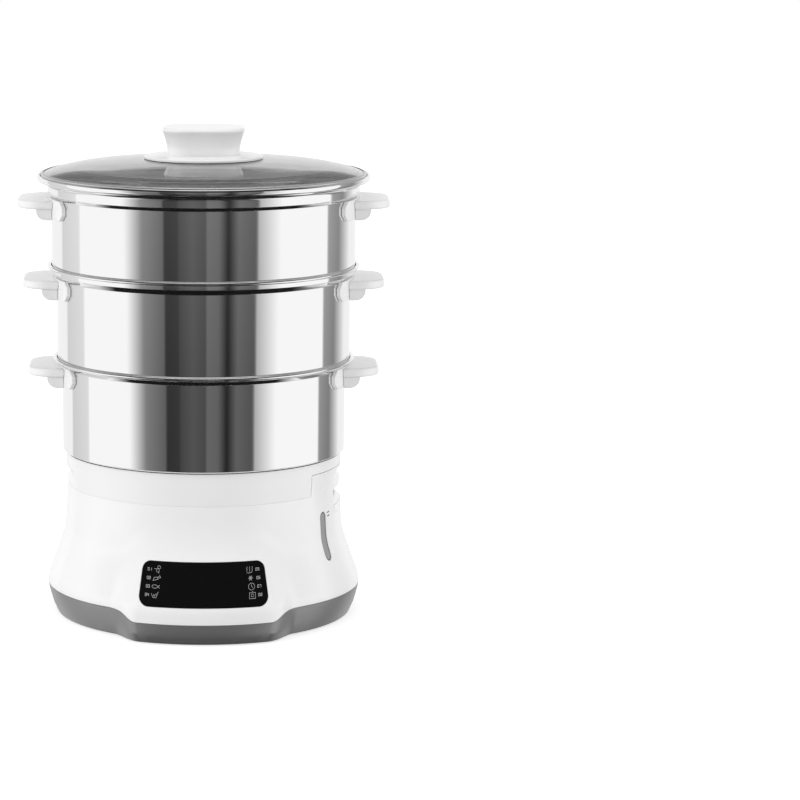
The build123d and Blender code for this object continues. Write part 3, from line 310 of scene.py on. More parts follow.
@dataclass(frozen=True)
class Metal:
    """Sheet or turned metal with drawing lines round the axis and faint smudges."""

    name: str
    colour: Colour
    tint: Colour
    roughness: float
    lines: float
    depth: float
    edge: float = 0.25
    line_scale: float = 12.0
    smudge_scale: float = 22.0

    def build(self) -> bpy.types.Material:
        """Build the finish.

        Returns:
            Its material.
        """
        material, graph = new_material(self.name)
        where = graph.place()
        rings = graph.add("ShaderNodeMapping", Vector=where, Scale=(1.0, 1.0, self.lines))
        drawn = graph.noise(rings.outputs[0], self.line_scale, 5.0)
        smudge = graph.noise(where, self.smudge_scale)
        graph.principled(
            Base_Color=graph.blend(graph.spread(smudge, 0.0, 0.25), self.colour, self.tint),
            Metallic=1.0,
            Roughness=graph.spread(smudge, self.roughness * 0.6, self.roughness * 1.5),
            Normal=graph.bump(drawn, self.depth, self.edge),
        )
        return material


@dataclass(frozen=True)
class Clear:
    """See-through glass with faint smears on its surface."""

    name: str
    colour: Colour
    roughness: float
    clearness: float
    ior: float
    smear_scale: float = 18.0
    smear_depth: float = 0.02
    edge: float = 0.3

    def build(self) -> bpy.types.Material:
        """Build the finish.

        Returns:
            Its material.
        """
        material, graph = new_material(self.name)
        smear = graph.noise(graph.place(), self.smear_scale, 4.0)
        graph.principled(
            Base_Color=self.colour,
            Roughness=graph.spread(smear, self.roughness * 0.7, self.roughness * 1.4),
            IOR=self.ior,
            Transmission_Weight=self.clearness,
            Normal=graph.bump(smear, self.smear_depth, self.edge),
        )
        return material


@dataclass(frozen=True)
class SightGlass:
    """Smoky window plastic, streaked along its length, with painted shade that darkens it round its
    edge.

    The window is a slot: its middle, its straight half and its half width are
    in millimetres, and its angle about the axis is in degrees.
    """

    name: str
    colour: Colour
    painted_edge_shade: Colour
    roughness: float
    angle: float
    middle: float
    straight: float
    half_width: float
    edge: float
    streak_scale: float = 700.0
    streak_stretch: float = 0.03
    wear: float = 60.0

    def rim(self, graph: Graph, where: Socket) -> Socket:
        """Tell the slot's edge, where the shade is painted, from its middle.

        Args:
            graph: the graph to add to.
            where: the object's coordinates.

        Returns:
            A factor, 0 in the middle and 1 at the edge.
        """
        turn = math.radians(self.angle)
        sideways = (-math.sin(turn), math.cos(turn), 0.0)
        across = graph.add("ShaderNodeVectorMath", operation="DOT_PRODUCT")
        graph.feed(across, 0, where)
        graph.feed(across, 1, sideways)
        height = graph.add("ShaderNodeSeparateXYZ", Vector=where).outputs[2]
        along = graph.maths("ABSOLUTE", graph.maths("SUBTRACT", height, self.middle * MM))
        over = graph.maths("MAXIMUM", graph.maths("SUBTRACT", along, self.straight * MM), 0.0)
        squares = [graph.maths("MULTIPLY", side, side) for side in (across.outputs["Value"], over)]
        reach = graph.maths("SQRT", graph.maths("ADD", *squares))
        starts = (self.half_width - 1.4 * self.edge) * MM
        ends = (self.half_width - 0.6 * self.edge) * MM
        return graph.share(reach, starts, ends)

    def build(self) -> bpy.types.Material:
        """Build the finish.

        Returns:
            Its material.
        """
        material, graph = new_material(self.name)
        where = graph.place()
        long = graph.add("ShaderNodeMapping", Vector=where, Scale=(1.0, 1.0, self.streak_stretch))
        streak = graph.noise(long.outputs[0], self.streak_scale, 2.0)
        dim = tuple(0.8 * channel for channel in self.colour)
        body = graph.blend(streak, dim, self.colour)
        wear = graph.noise(where, self.wear)
        graph.principled(
            # painted shade: the window's colour darkens towards the slot's edge
            Base_Color=graph.blend(self.rim(graph, where), body, self.painted_edge_shade),
            Roughness=graph.spread(wear, self.roughness * 0.8, self.roughness * 1.2),
            Normal=graph.bump(streak, 0.01, 0.3),
            Transmission_Weight=0.1,
        )
        return material


@dataclass(frozen=True)
class Laminate:
    """Printed circuit laminate: solder mask with copper runs and pads."""

    name: str
    mask: Colour
    copper: Colour
    pitch: float
    run_width: float = 0.03
    pad_radius: float = 0.16
    pad_pitch: float = 1.7

    def build(self) -> bpy.types.Material:
        """Build the finish.

        Returns:
            Its material.
        """
        material, graph = new_material(self.name)
        where = graph.place()
        cells = graph.add(
            "ShaderNodeTexBrick", Vector=where, Scale=self.pitch, Mortar_Size=self.run_width
        )
        runs = graph.maths("GREATER_THAN", cells.outputs["Fac"], 0.5)
        pads = graph.add("ShaderNodeTexVoronoi", Vector=where, Scale=self.pitch * self.pad_pitch)
        dots = graph.maths("LESS_THAN", pads.outputs["Distance"], self.pad_radius)
        metal = graph.maths("MAXIMUM", runs, dots)
        graph.principled(
            Base_Color=graph.blend(metal, self.mask, self.copper),
            Roughness=graph.spread(graph.noise(where, 90.0), 0.25, 0.45),
            Normal=graph.bump(metal, 0.05, 0.2),
        )
        return material


class Finish(Enum):
    """Every finish of the steamer, by the record's slot that it belongs to."""

    WHITE = Plastic("white_plastic", grey(243), grey(238), 0.2, 420.0, 0.012, edge=0.7, coat=0.3)
    HANDLE = Plastic("handle_plastic", grey(242), grey(237), 0.22, 500.0, 0.012, edge=0.9, coat=0.2)
    MILKY = Plastic("milky_plastic", grey(240), grey(236), 0.24, 300.0, 0.006, edge=0.6)
    INNER = Plastic("inner_plastic", grey(218), grey(210), 0.45, 600.0, 0.02, edge=0.4)
    GREY = Plastic("grey_plastic", grey(146), grey(139), 0.36, 1500.0, 0.02, edge=1.0, metal=0.6)
    BLACK = Plastic("black_plastic", grey(26), grey(20), 0.4, 900.0, 0.02, edge=0.4)
    PANEL = Plastic("black_glass", grey(24), grey(21), 0.16, 200.0, 0.003, edge=0.4, shine=0.2)
    PRINT = Plastic("panel_print", grey(190), grey(170), 0.5, 900.0, 0.002, edge=0.05)
    MARK = Plastic("gauge_print", grey(60), grey(52), 0.5, 900.0, 0.002, edge=0.05)
    SILICONE = Plastic("silicone", grey(205), grey(196), 0.5, 800.0, 0.02, edge=0.4, glow=0.1)
    RUBBER = Plastic("dark_rubber", grey(48), grey(40), 0.7, 1200.0, 0.05)
    CERAMIC = Plastic("ceramic", (0.78, 0.72, 0.6), (0.7, 0.64, 0.52), 0.3, 500.0, 0.02, edge=0.4)
    STEEL = Metal("bowl_steel", grey(247), grey(238), 0.06, 60.0, 0.0012)
    STEEL_INSIDE = Metal("bowl_steel_inside", grey(226), grey(210), 0.26, 160.0, 0.004)
    RIM = Metal("rim_steel", grey(236), grey(222), 0.28, 90.0, 0.002)
    SCREW = Metal("screw_steel", grey(190), grey(160), 0.28, 900.0, 0.01)
    ELEMENT = Metal("element_steel", (0.22, 0.2, 0.19), (0.3, 0.2, 0.12), 0.35, 500.0, 0.01)
    WINDOW = SightGlass(
        "smoky_plastic",
        grey(168),
        # painted shade round the window's edge
        grey(104),
        roughness=0.22,
        angle=-31.5,
        middle=72.8,
        straight=15.5,
        half_width=4.3,
        edge=0.9,
    )
    GLASS = Clear("lid_glass_clear", grey(198), roughness=0.008, clearness=1.0, ior=1.45)
    BOARD = Laminate("board_green", (0.012, 0.1, 0.045), (0.03, 0.2, 0.09), 320.0)

    def material(self) -> bpy.types.Material:
        """Return the finish's material, built on its first use."""
        return bpy.data.materials.get(f"{self.value.name}_finish") or self.value.build()

    @property
    def slot(self) -> str:
        """Name of the record's slot that the finish belongs to."""
        return SHARED_SLOTS.get(self.value.name, self.value.name)


# ------------------------------------------------------------------ mesh helpers
def link_mesh(name: str, mesh: bpy.types.Mesh) -> bpy.types.Object:
    """Put a mesh into the scene as an object at the origin.

    Args:
        name: the object's name.
        mesh: its mesh.

    Returns:
        The object.
    """
    thing = bpy.data.objects.new(name, mesh)
    bpy.context.scene.collection.objects.link(thing)
    return thing


def smooth(mesh: bpy.types.Mesh, angle: float = SOFT_ANGLE) -> None:
    """Shade a mesh smoothly, but keep edges over an angle sharp."""
    mesh.shade_smooth()
    mesh.set_sharp_from_angle(angle=math.radians(angle))


def outward(mesh: bpy.types.Mesh) -> None:
    """Merge doubled points and turn all faces outwards.

    Args:
        mesh: the mesh to mend.
    """
    form = bmesh.new()
    form.from_mesh(mesh)
    bmesh.ops.remove_doubles(form, verts=form.verts, dist=DOUBLES)
    bmesh.ops.recalc_face_normals(form, faces=form.faces)
    form.to_mesh(mesh)
    form.free()


def made_mesh(name: str, form: bmesh.types.BMesh) -> bpy.types.Mesh:
    """Turn a finished form into a mesh, and drop the form.

    Args:
        name: the mesh's name.
        form: the form.

    Returns:
        The mesh.
    """
    mesh = bpy.data.meshes.new(name)
    form.to_mesh(mesh)
    form.free()
    return mesh


def stacked(form: bmesh.types.BMesh, rings: Sequence[Sequence[Vector | Place]]) -> None:
    """Add a closed solid to a form.

    Args:
        form: the form to add to.
        rings: outlines of the solid from one end to the other, in metres.
    """
    made = [[form.verts.new(place) for place in ring] for ring in rings]
    form.faces.new(made[0])
    form.faces.new(made[-1])
    count = len(made[0])
    for low, high in zip(made, made[1:]):
        for i in range(count):
            j = (i + 1) % count
            form.faces.new((low[i], low[j], high[j], high[i]))


def fine_copy(frame: dict, node: str) -> bpy.types.Object:
    """Copy a CAD node as a merged, smoothly shaded piece that stands for it.

    Args:
        node: the CAD node's name.

    Returns:
        The new piece, not yet riding on a body.
    """
    mesh = frame["nodes"][node].data.copy()
    mesh.name = f"{node}_skin"
    mesh.materials.clear()
    if mesh.has_custom_normals:
        mesh.attributes.remove(mesh.attributes["custom_normal"])
    outward(mesh)
    smooth(mesh, COPY_ANGLE)
    piece = link_mesh(f"{node}_skin", mesh)
    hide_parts(node)
    return piece


def rounded(corners: Sequence[Place], steps: int = 7) -> list[Point]:
    """Round the corners of an open outline.

    Args:
        corners: each corner's radius from the axis, height and rounding radius.
        steps: how many points make one rounding.

    Returns:
        The outline's points.
    """
    straight = 1.565
    points: list[Point] = [corners[0][:2]]
    for before, corner, after in zip(corners, corners[1:], corners[2:]):
        here = Vector(corner[:2])
        back = (Vector(before[:2]) - here).normalized()
        ahead = (Vector(after[:2]) - here).normalized()
        half = back.angle(ahead) / 2
        if corner[2] <= 0 or half > straight:
            points.append(tuple(here))
            continue
        reach = corner[2] / math.tan(half)
        middle = here + (back + ahead).normalized() * corner[2] / math.sin(half)
        start = here + back * reach - middle
        end = here + ahead * reach - middle
        turn = start.angle_signed(end)
        for step in range(steps + 1):
            angle = -turn * step / steps
            points.append(tuple(middle + Matrix.Rotation(angle, 2) @ start))
    points.append(corners[-1][:2])
    return points


def walled(outline: Sequence[Point], wall: float) -> list[Point]:
    """Close an open outline with a parallel line on its left.

    Args:
        outline: the points of the outer line.
        wall: distance to the inner line.

    Returns:
        The closed section: the outer line, then the inner one backwards.
    """
    inner: list[Point] = []
    count = len(outline)
    for index, point in enumerate(outline):
        before = Vector(outline[max(index - 1, 0)])
        after = Vector(outline[min(index + 1, count - 1)])
        along = (after - before).normalized()
        inner.append((point[0] - along.y * wall, point[1] + along.x * wall))
    return [*outline, *reversed(inner)]


def oval(centre: Point, wide: float, tall: float, steps: int = 28) -> list[Point]:
    """Return an oval's points from its centre, half width and half height."""
    turns = [2 * math.pi * step / steps for step in range(steps)]
    return [(centre[0] + wide * math.cos(t), centre[1] + tall * math.sin(t)) for t in turns]


# ------------------------------------------------------------------ geometry nodes
class Tree:
    """Builds one geometry node tree with named inputs."""

    def __init__(self, name: str, sizes: dict[str, str]) -> None:
        """Make the tree.

        Args:
            name: the tree's name.
            sizes: each input's name with its socket type, such as Float.
        """
        self.tree = bpy.data.node_groups.new(name, "GeometryNodeTree")
        face = self.tree.interface
        face.new_socket("Geometry", in_out="INPUT", socket_type="NodeSocketGeometry")
        face.new_socket("Geometry", in_out="OUTPUT", socket_type="NodeSocketGeometry")
        for label, kind in {**sizes, "Material": "Material"}.items():
            face.new_socket(label, in_out="INPUT", socket_type=f"NodeSocket{kind}")
        self.source = self.tree.nodes.new("NodeGroupInput")

    def size(self, label: str) -> Socket:
        """Return the output of a named input."""
        return self.source.outputs[label]

    def add(self, kind: str, *feeds: object, **settings: object) -> bpy.types.Node:
        """Add a node.

        Args:
            kind: the node's type name.
            feeds: pairs of input (name or number) and value or output socket.
            settings: properties of the node.

        Returns:
            The new node.
        """
        node = self.tree.nodes.new(kind)
        for key, value in settings.items():
            setattr(node, key, value)
        for socket, value in zip(feeds[::2], feeds[1::2]):
            if isinstance(value, Socket):
                self.tree.links.new(value, node.inputs[socket])
            else:
                node.inputs[socket].default_value = value
        return node

    def maths(self, operation: str, first: object, second: object = 0.0) -> Socket:
        """Add a maths node and return its value."""
        return self.add("ShaderNodeMath", 0, first, 1, second, operation=operation).outputs[0]

    def join(self, *parts: Socket) -> Socket:
        """Join geometries.

        Args:
            parts: the geometries.

        Returns:
            All of them as one.
        """
        node = self.tree.nodes.new("GeometryNodeJoinGeometry")
        for part in parts:
            self.tree.links.new(part, node.inputs[0])
        return node.outputs[0]

    def lifted(self, part: Socket, height: Socket) -> Socket:
        """Move a geometry up.

        Args:
            part: the geometry.
            height: how far, in metres.

        Returns:
            The moved geometry.
        """
        way = self.add("ShaderNodeCombineXYZ", 2, height).outputs[0]
        return self.add("GeometryNodeTransform", "Geometry", part, "Translation", way).outputs[0]

    def merged(self, part: Socket, distance: float | Socket) -> Socket:
        """Merge a geometry's points that lie within a distance."""
        return self.add(
            "GeometryNodeMergeByDistance", "Geometry", part, "Distance", distance
        ).outputs[0]

    def circle(self, steps: int, radius: float | Socket) -> Socket:
        """Return a circular curve, with its radius in metres."""
        return self.add(
            "GeometryNodeCurvePrimitiveCircle", "Resolution", steps, "Radius", radius
        ).outputs["Curve"]

    def finish(self, geometry: Socket) -> bpy.types.NodeTree:
        """End the tree in Realize Instances and Set Material.

        Args:
            geometry: what the tree makes.

        Returns:
            The finished tree.
        """
        real = self.add("GeometryNodeRealizeInstances", "Geometry", geometry).outputs[0]
        skin = self.size("Material")
        dressed = self.add("GeometryNodeSetMaterial", "Geometry", real, "Material", skin)
        end = self.tree.nodes.new("NodeGroupOutput")
        self.tree.links.new(dressed.outputs[0], end.inputs[0])
        return self.tree


def shared_tree(name: str, build: Callable[[str], bpy.types.NodeTree]) -> bpy.types.NodeTree:
    """Return a tree by its name, built on its first use."""
    return bpy.data.node_groups.get(name) or build(name)


def grown(
    name: str, base: bpy.types.Mesh, tree: bpy.types.NodeTree, sizes: dict[str, object]
) -> bpy.types.Object:
    """Run a geometry node tree on a mesh and keep its result as a plain piece.

    Args:
        name: the new piece's name.
        base: the mesh that the tree starts from.
        tree: the geometry node tree.
        sizes: the values of its named inputs.

    Returns:
        The piece, with no modifier left on it and its faces outwards.
    """
    seed = link_mesh(f"{name}_seed", base)
    modifier = seed.modifiers.new("grow", "NODES")
    modifier.node_group = tree
    for item in tree.interface.items_tree:
        if item.item_type == "SOCKET" and item.in_out == "INPUT" and item.name in sizes:
            modifier[item.identifier] = sizes[item.name]
    graph = bpy.context.evaluated_depsgraph_get()
    mesh = bpy.data.meshes.new_from_object(seed.evaluated_get(graph))
    mesh.name = name
    seed.modifiers.remove(modifier)
    bpy.data.objects.remove(seed)
    outward(mesh)
    return link_mesh(name, mesh)


def turning_tree(name: str) -> bpy.types.NodeTree:
    """Build the tree that turns a closed section about the axis.

    Args:
        name: the tree's name.

    Returns:
        The tree, with the number of steps and the merging distance as inputs.
    """
    tree = Tree(name, {"Steps": "Int", "Merge": "Float"})
    section = tree.size("Geometry")
    count = tree.add("GeometryNodeAttributeDomainSize", "Geometry", section).outputs["Point Count"]
    rows = tree.maths("ADD", tree.size("Steps"), 1.0)
    columns = tree.maths("ADD", count, 1.0)
    sheet = tree.add("GeometryNodeMeshGrid", "Vertices X", columns, "Vertices Y", rows)
    index = tree.add("GeometryNodeInputIndex").outputs[0]
    column = tree.maths("FLOOR", tree.maths("DIVIDE", tree.maths("ADD", index, 0.01), rows))
    along = tree.maths("MODULO", column, count)
    part = tree.maths("DIVIDE", tree.maths("MODULO", index, rows), tree.size("Steps"))
    angle = tree.maths("MULTIPLY", part, 2 * math.pi)
    place = tree.add("GeometryNodeInputPosition").outputs[0]
    feeds = ("Geometry", section, "Value", place, "Index", along)
    sample = tree.add("GeometryNodeSampleIndex", *feeds, data_type="FLOAT_VECTOR")
    value = next(out for out in sample.outputs if out.enabled)
    apart = tree.add("ShaderNodeSeparateXYZ", 0, value)
    x = tree.maths("MULTIPLY", apart.outputs[0], tree.maths("COSINE", angle))
    y = tree.maths("MULTIPLY", apart.outputs[0], tree.maths("SINE", angle))
    target = tree.add("ShaderNodeCombineXYZ", 0, x, 1, y, 2, apart.outputs[2]).outputs[0]
    grid = sheet.outputs["Mesh"]
    shaped = tree.add("GeometryNodeSetPosition", "Geometry", grid, "Position", target)
    return tree.finish(tree.merged(shaped.outputs[0], tree.size("Merge")))


def turned(
    name: str, section: Sequence[Point], finish: Finish, angle: float = SOFT_ANGLE
) -> bpy.types.Object:
    """Turn a closed section about the axis.

    Args:
        name: the piece's name.
        section: closed outline as (radius, height), in millimetres.
        finish: the finish to give it.
        angle: edges sharper than this stay sharp, in degrees.

    Returns:
        The piece.
    """
    base = bpy.data.meshes.new(f"{name}_section")
    base.from_pydata([(r * MM, 0.0, z * MM) for r, z in section], [], [])
    sizes = {"Steps": TURN_STEPS, "Merge": MERGE, "Material": finish.material()}
    piece = grown(name, base, shared_tree("turned_section", turning_tree), sizes)
    smooth(piece.data, angle)
    return piece


def dress(piece: bpy.types.Object, body: str, finish: Finish) -> bpy.types.Object:
    """Give a piece its finish and the body that it rides on.

    Args:
        piece: the piece.
        body: the body's name.
        finish: the finish, used where the piece has no material yet.

    Returns:
        The same piece.
    """
    if not piece.data.materials:
        piece.data.materials.append(finish.material())
    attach(piece, body)
    LOG.info("piece %s on %s, %d faces", piece.name, body, len(piece.data.polygons))
    return piece


def paint_node(frame: dict, node: str, finish: Finish) -> None:
    """Give a CAD node that stays as it is its finish.

    Args:
        node: the CAD node's name.
        finish: its finish.
    """
    mesh = frame["nodes"][node].data
    mesh.materials.clear()
    mesh.materials.append(finish.material())
    LOG.info("finish %s on %s", finish.value.name, node)


# ------------------------------------------------------------------ panel print
SEGMENTS: dict[str, tuple[Point, Point]] = {
    "a": ((0.0, 1.0), (1.0, 1.0)),
    "b": ((1.0, 1.0), (1.0, 0.5)),
    "c": ((1.0, 0.5), (1.0, 0.0)),
    "d": ((0.0, 0.0), (1.0, 0.0)),
    "e": ((0.0, 0.5), (0.0, 0.0)),
    "f": ((0.0, 1.0), (0.0, 0.5)),
    "g": ((0.0, 0.5), (1.0, 0.5)),
}
DIGITS = ("abcfed", "bc", "abged", "abgcd", "fgbc", "afgcd", "afgecd", "abc", "abcdefg")


def loop(width: float, height: float, centre: Point = (0.0, 0.0), steps: int = 14) -> list[Point]:
    """Return a closed oval path round a centre."""
    path = oval(centre, width / 2, height / 2, steps)
    return [*path, path[0]]


DRAWINGS: tuple[tuple[list[Point], ...], ...] = (
    (
        loop(2.4, 2.2, (1.3, 1.7)),
        loop(2.2, 2.6, (0.2, -0.6)),
        [(-2.6, 0.5), (-0.6, 0.5)],
        [(0.7, -1.8), (1.2, -2.7)],
    ),
    (
        [(-3.0, -1.9), (-1.9, 0.4), (0.4, 0.8), (1.1, -0.8), (-3.0, -1.9)],
        [(0.8, 0.4), (2.4, 1.9)],
        [(1.2, 0.0), (3.3, 0.5), (2.4, 1.9)],
    ),
    (loop(4.4, 2.5, (-0.7, 0.0)), [(1.5, 0.0), (3.1, 1.0)], [(1.5, 0.0), (3.1, -1.0)]),
    (
        [(-2.7, 0.9), (-1.4, -1.9), (1.0, -1.9), (2.1, 0.5)],
        [(-0.9, 0.7), (-0.3, -1.0), (0.6, 0.7)],
        [(1.2, 0.2), (2.9, 2.2)],
    ),
    (
        *([(x, -1.4), (x + 0.5, -0.2), (x, 0.9), (x + 0.5, 2.1)] for x in (-2.4, -0.3, 1.8)),
        [(-2.2, -2.4), (0.4, -2.4), (2.0, -1.7)],
    ),
    (
        *([(-x, -z), (x, z)] for x, z in ((1.9, 0.0), (0.95, 1.65), (-0.95, 1.65))),
        loop(2.0, 2.0),
    ),
    (loop(5.0, 5.0), [(0.0, 1.5), (0.0, 0.0), (1.1, -0.9)]),
    (
        [(-2.4, -2.5), (2.4, -2.5), (2.4, 1.7), (-2.4, 1.7), (-2.4, -2.5)],
        loop(2.0, 2.2, (0.0, -0.3)),
        [(-0.5, 2.4), (0.5, 2.4)],
    ),
)


@dataclass(frozen=True)
class PanelPrint:
    """Numerals and drawings, printed in thin strokes on the touch panel's face.

    The face turns a place across, a height and a lift in millimetres into a
    point in metres. A column's place is its distance from the middle at the
    highest row, and how much further out each lower row stands.
    """

    face: Callable[[float, float, float], Vector]
    rows: tuple[float, ...] = (58.4, 52.2, 46.1, 40.0)
    number_column: Point = (43.0, 0.72)
    drawing_column: Point = (36.7, 0.75)
    digit_shift: float = 0.85
    digit_width: float = 1.05
    digit_height: float = 1.9
    digit_stroke: float = 0.28
    drawing_stroke: float = 0.24
    sunk: float = -0.1
    raised: float = 0.04

    def build(self) -> bpy.types.Object:
        """Build the whole print.

        Returns:
            The piece, not yet dressed.
        """
        form = bmesh.new()
        for row, height in enumerate(self.rows):
            for side, number in ((-1, row + 1), (1, row + 1 + len(self.rows))):
                across, beside = (
                    side * (start + step * row)
                    for start, step in (self.number_column, self.drawing_column)
                )
                self.digit(form, 0, across - self.digit_shift, height)
                self.digit(form, number, across + self.digit_shift, height)
                for path in DRAWINGS[number - 1]:
                    moved = [(beside + x, height + z) for x, z in path]
                    self.stroke(form, moved, self.drawing_stroke)
        mesh = made_mesh("panel_print", form)
        outward(mesh)
        return link_mesh("panel_print", mesh)

    def stroke(self, form: bmesh.types.BMesh, path: Sequence[Point], width: float) -> None:
        """Add one thin stroke that lies on the panel's face.

        Args:
            form: the mesh to add to.
            path: the stroke's points as (across, height), in millimetres.
            width: the stroke's width.
        """
        for start, end in zip(path, path[1:]):
            a, b = Vector(start), Vector(end)
            along = (b - a).normalized()
            side = Vector((-along.y, along.x)) * width / 2
            a, b = a - along * width / 3, b + along * width / 3
            flat = (a - side, b - side, b + side, a + side)
            lifts = (self.sunk, self.raised)
            stacked(form, [[self.face(*p, lift) for p in flat] for lift in lifts])

    def digit(self, form: bmesh.types.BMesh, number: int, x: float, z: float) -> None:
        """Add one numeral of up to seven strokes.

        Args:
            form: the mesh to add to.
            number: the numeral, 0 to 8.
            x: its middle across the panel.
            z: its middle's height.
        """
        for name in DIGITS[number]:
            path = [
                (x + (across - 0.5) * self.digit_width, z + (up - 0.5) * self.digit_height)
                for across, up in SEGMENTS[name]
            ]
            self.stroke(form, path, self.digit_stroke)


# ------------------------------------------------------------------ base
@dataclass
class HeatedBase:
    """The heated base: shells, panel print, gauge marks and the parts inside."""

    frame: dict
    body: str = "base"
    face_low: Point = (140.2, 32.4)
    face_high: Point = (121.0, 65.5)
    flank: tuple[Point, ...] = ((128.2, 32.4), (118.3, 60.7), (115.0, 75.0), (112.9, 107.8))
    mark_heights: Point = (90.4, 87.4)
    mark_angles: Point = (-27.6, -25.6)
    mark_slant: float = 0.5
    mark_width: float = 0.7
    mark_lifts: Point = (-0.1, 0.06)
    skins: tuple[tuple[str, Finish], ...] = (
        ("base_housing", Finish.WHITE),
        ("base_skirt", Finish.GREY),
        ("inlet_spout", Finish.WHITE),
        ("control_panel", Finish.PANEL),
        ("water_gauge", Finish.WINDOW),
        ("cord_gland", Finish.RUBBER),
        ("rubber_feet", Finish.RUBBER),
        ("water_reservoir", Finish.INNER),
        ("heating_plate", Finish.STEEL_INSIDE),
        ("steam_ring", Finish.INNER),
        ("bottom_plate", Finish.GREY),
        ("heating_element", Finish.ELEMENT),
    )
    plain: tuple[tuple[str, Finish], ...] = (
        ("gauge_seal", Finish.SILICONE),
        ("heater_seal", Finish.SILICONE),
        ("heater_clamp", Finish.SCREW),
        ("thermostat", Finish.CERAMIC),
        ("thermal_fuse", Finish.CERAMIC),
        ("power_board", Finish.BOARD),
        ("display_board", Finish.BOARD),
        ("transformer", Finish.BLACK),
        ("power_relay", Finish.BLACK),
        ("terminal_block", Finish.INNER),
        ("buzzer", Finish.BLACK),
        ("panel_bracket", Finish.INNER),
        ("display_module", Finish.BLACK),
    )

    def build(self) -> None:
        """Build and dress the whole base."""
        for node, finish in self.skins:
            dress(fine_copy(self.frame, node), self.body, finish)
        for node, finish in self.plain:
            paint_node(self.frame, node, finish)
        dress(PanelPrint(self.face_point).build(), self.body, Finish.PRINT)
        dress(self.gauge_marks(), self.body, Finish.MARK)

    def face_point(self, x: float, z: float, lift: float) -> Vector:
        """Find a point on or over the panel's face.

        Args:
            x: its place across the panel, in millimetres.
            z: its height.
            lift: its distance from the face.

        Returns:
            The point, in metres.
        """
        (low_radius, low), (high_radius, high) = self.face_low, self.face_high
        slope = (high_radius - low_radius) / (high - low)
        radius = low_radius + slope * (z - low) + lift
        return Vector((x, -math.sqrt(radius**2 - x**2), z)) * MM

    def flank_point(self, angle: float, z: float, lift: float) -> Vector:
        """Find a point on or over the round base's flank.

        Args:
            angle: its angle about the axis, in degrees.
            z: its height, in millimetres.
            lift: its distance from the flank.

        Returns:
            The point, in metres.
        """
        radius = self.flank[-1][0]
        for low, high in zip(self.flank, self.flank[1:]):
            if low[1] <= z <= high[1]:
                radius = low[0] + (high[0] - low[0]) * (z - low[1]) / (high[1] - low[1])
        turn = math.radians(angle)
        reach = radius + lift
        return Vector((reach * math.cos(turn), reach * math.sin(turn), z)) * MM

    def gauge_marks(self) -> bpy.types.Object:
        """Build the two short level marks beside the gauge's upper end.

        Returns:
            The piece, not yet dressed.
        """
        form = bmesh.new()
        near, far = self.mark_angles
        for height in self.mark_heights:
            slant, top = height + self.mark_slant, height + self.mark_width
            outline = ((near, height), (far, slant), (far, slant + self.mark_width), (near, top))
            stacked(
                form,
                [[self.flank_point(*p, lift) for p in outline] for lift in self.mark_lifts],
            )
        mesh = made_mesh("gauge_marks", form)
        outward(mesh)
        return link_mesh("gauge_marks", mesh)


# ------------------------------------------------------------------ juice collector
@dataclass
class JuiceCollector:
    """The white ring with the drip tray between the base and the bowls."""

    frame: dict
    body: str = "collector"

    def build(self) -> None:
        """Build and dress the collector."""
        dress(fine_copy(self.frame, "juice_collector"), self.body, Finish.MILKY)


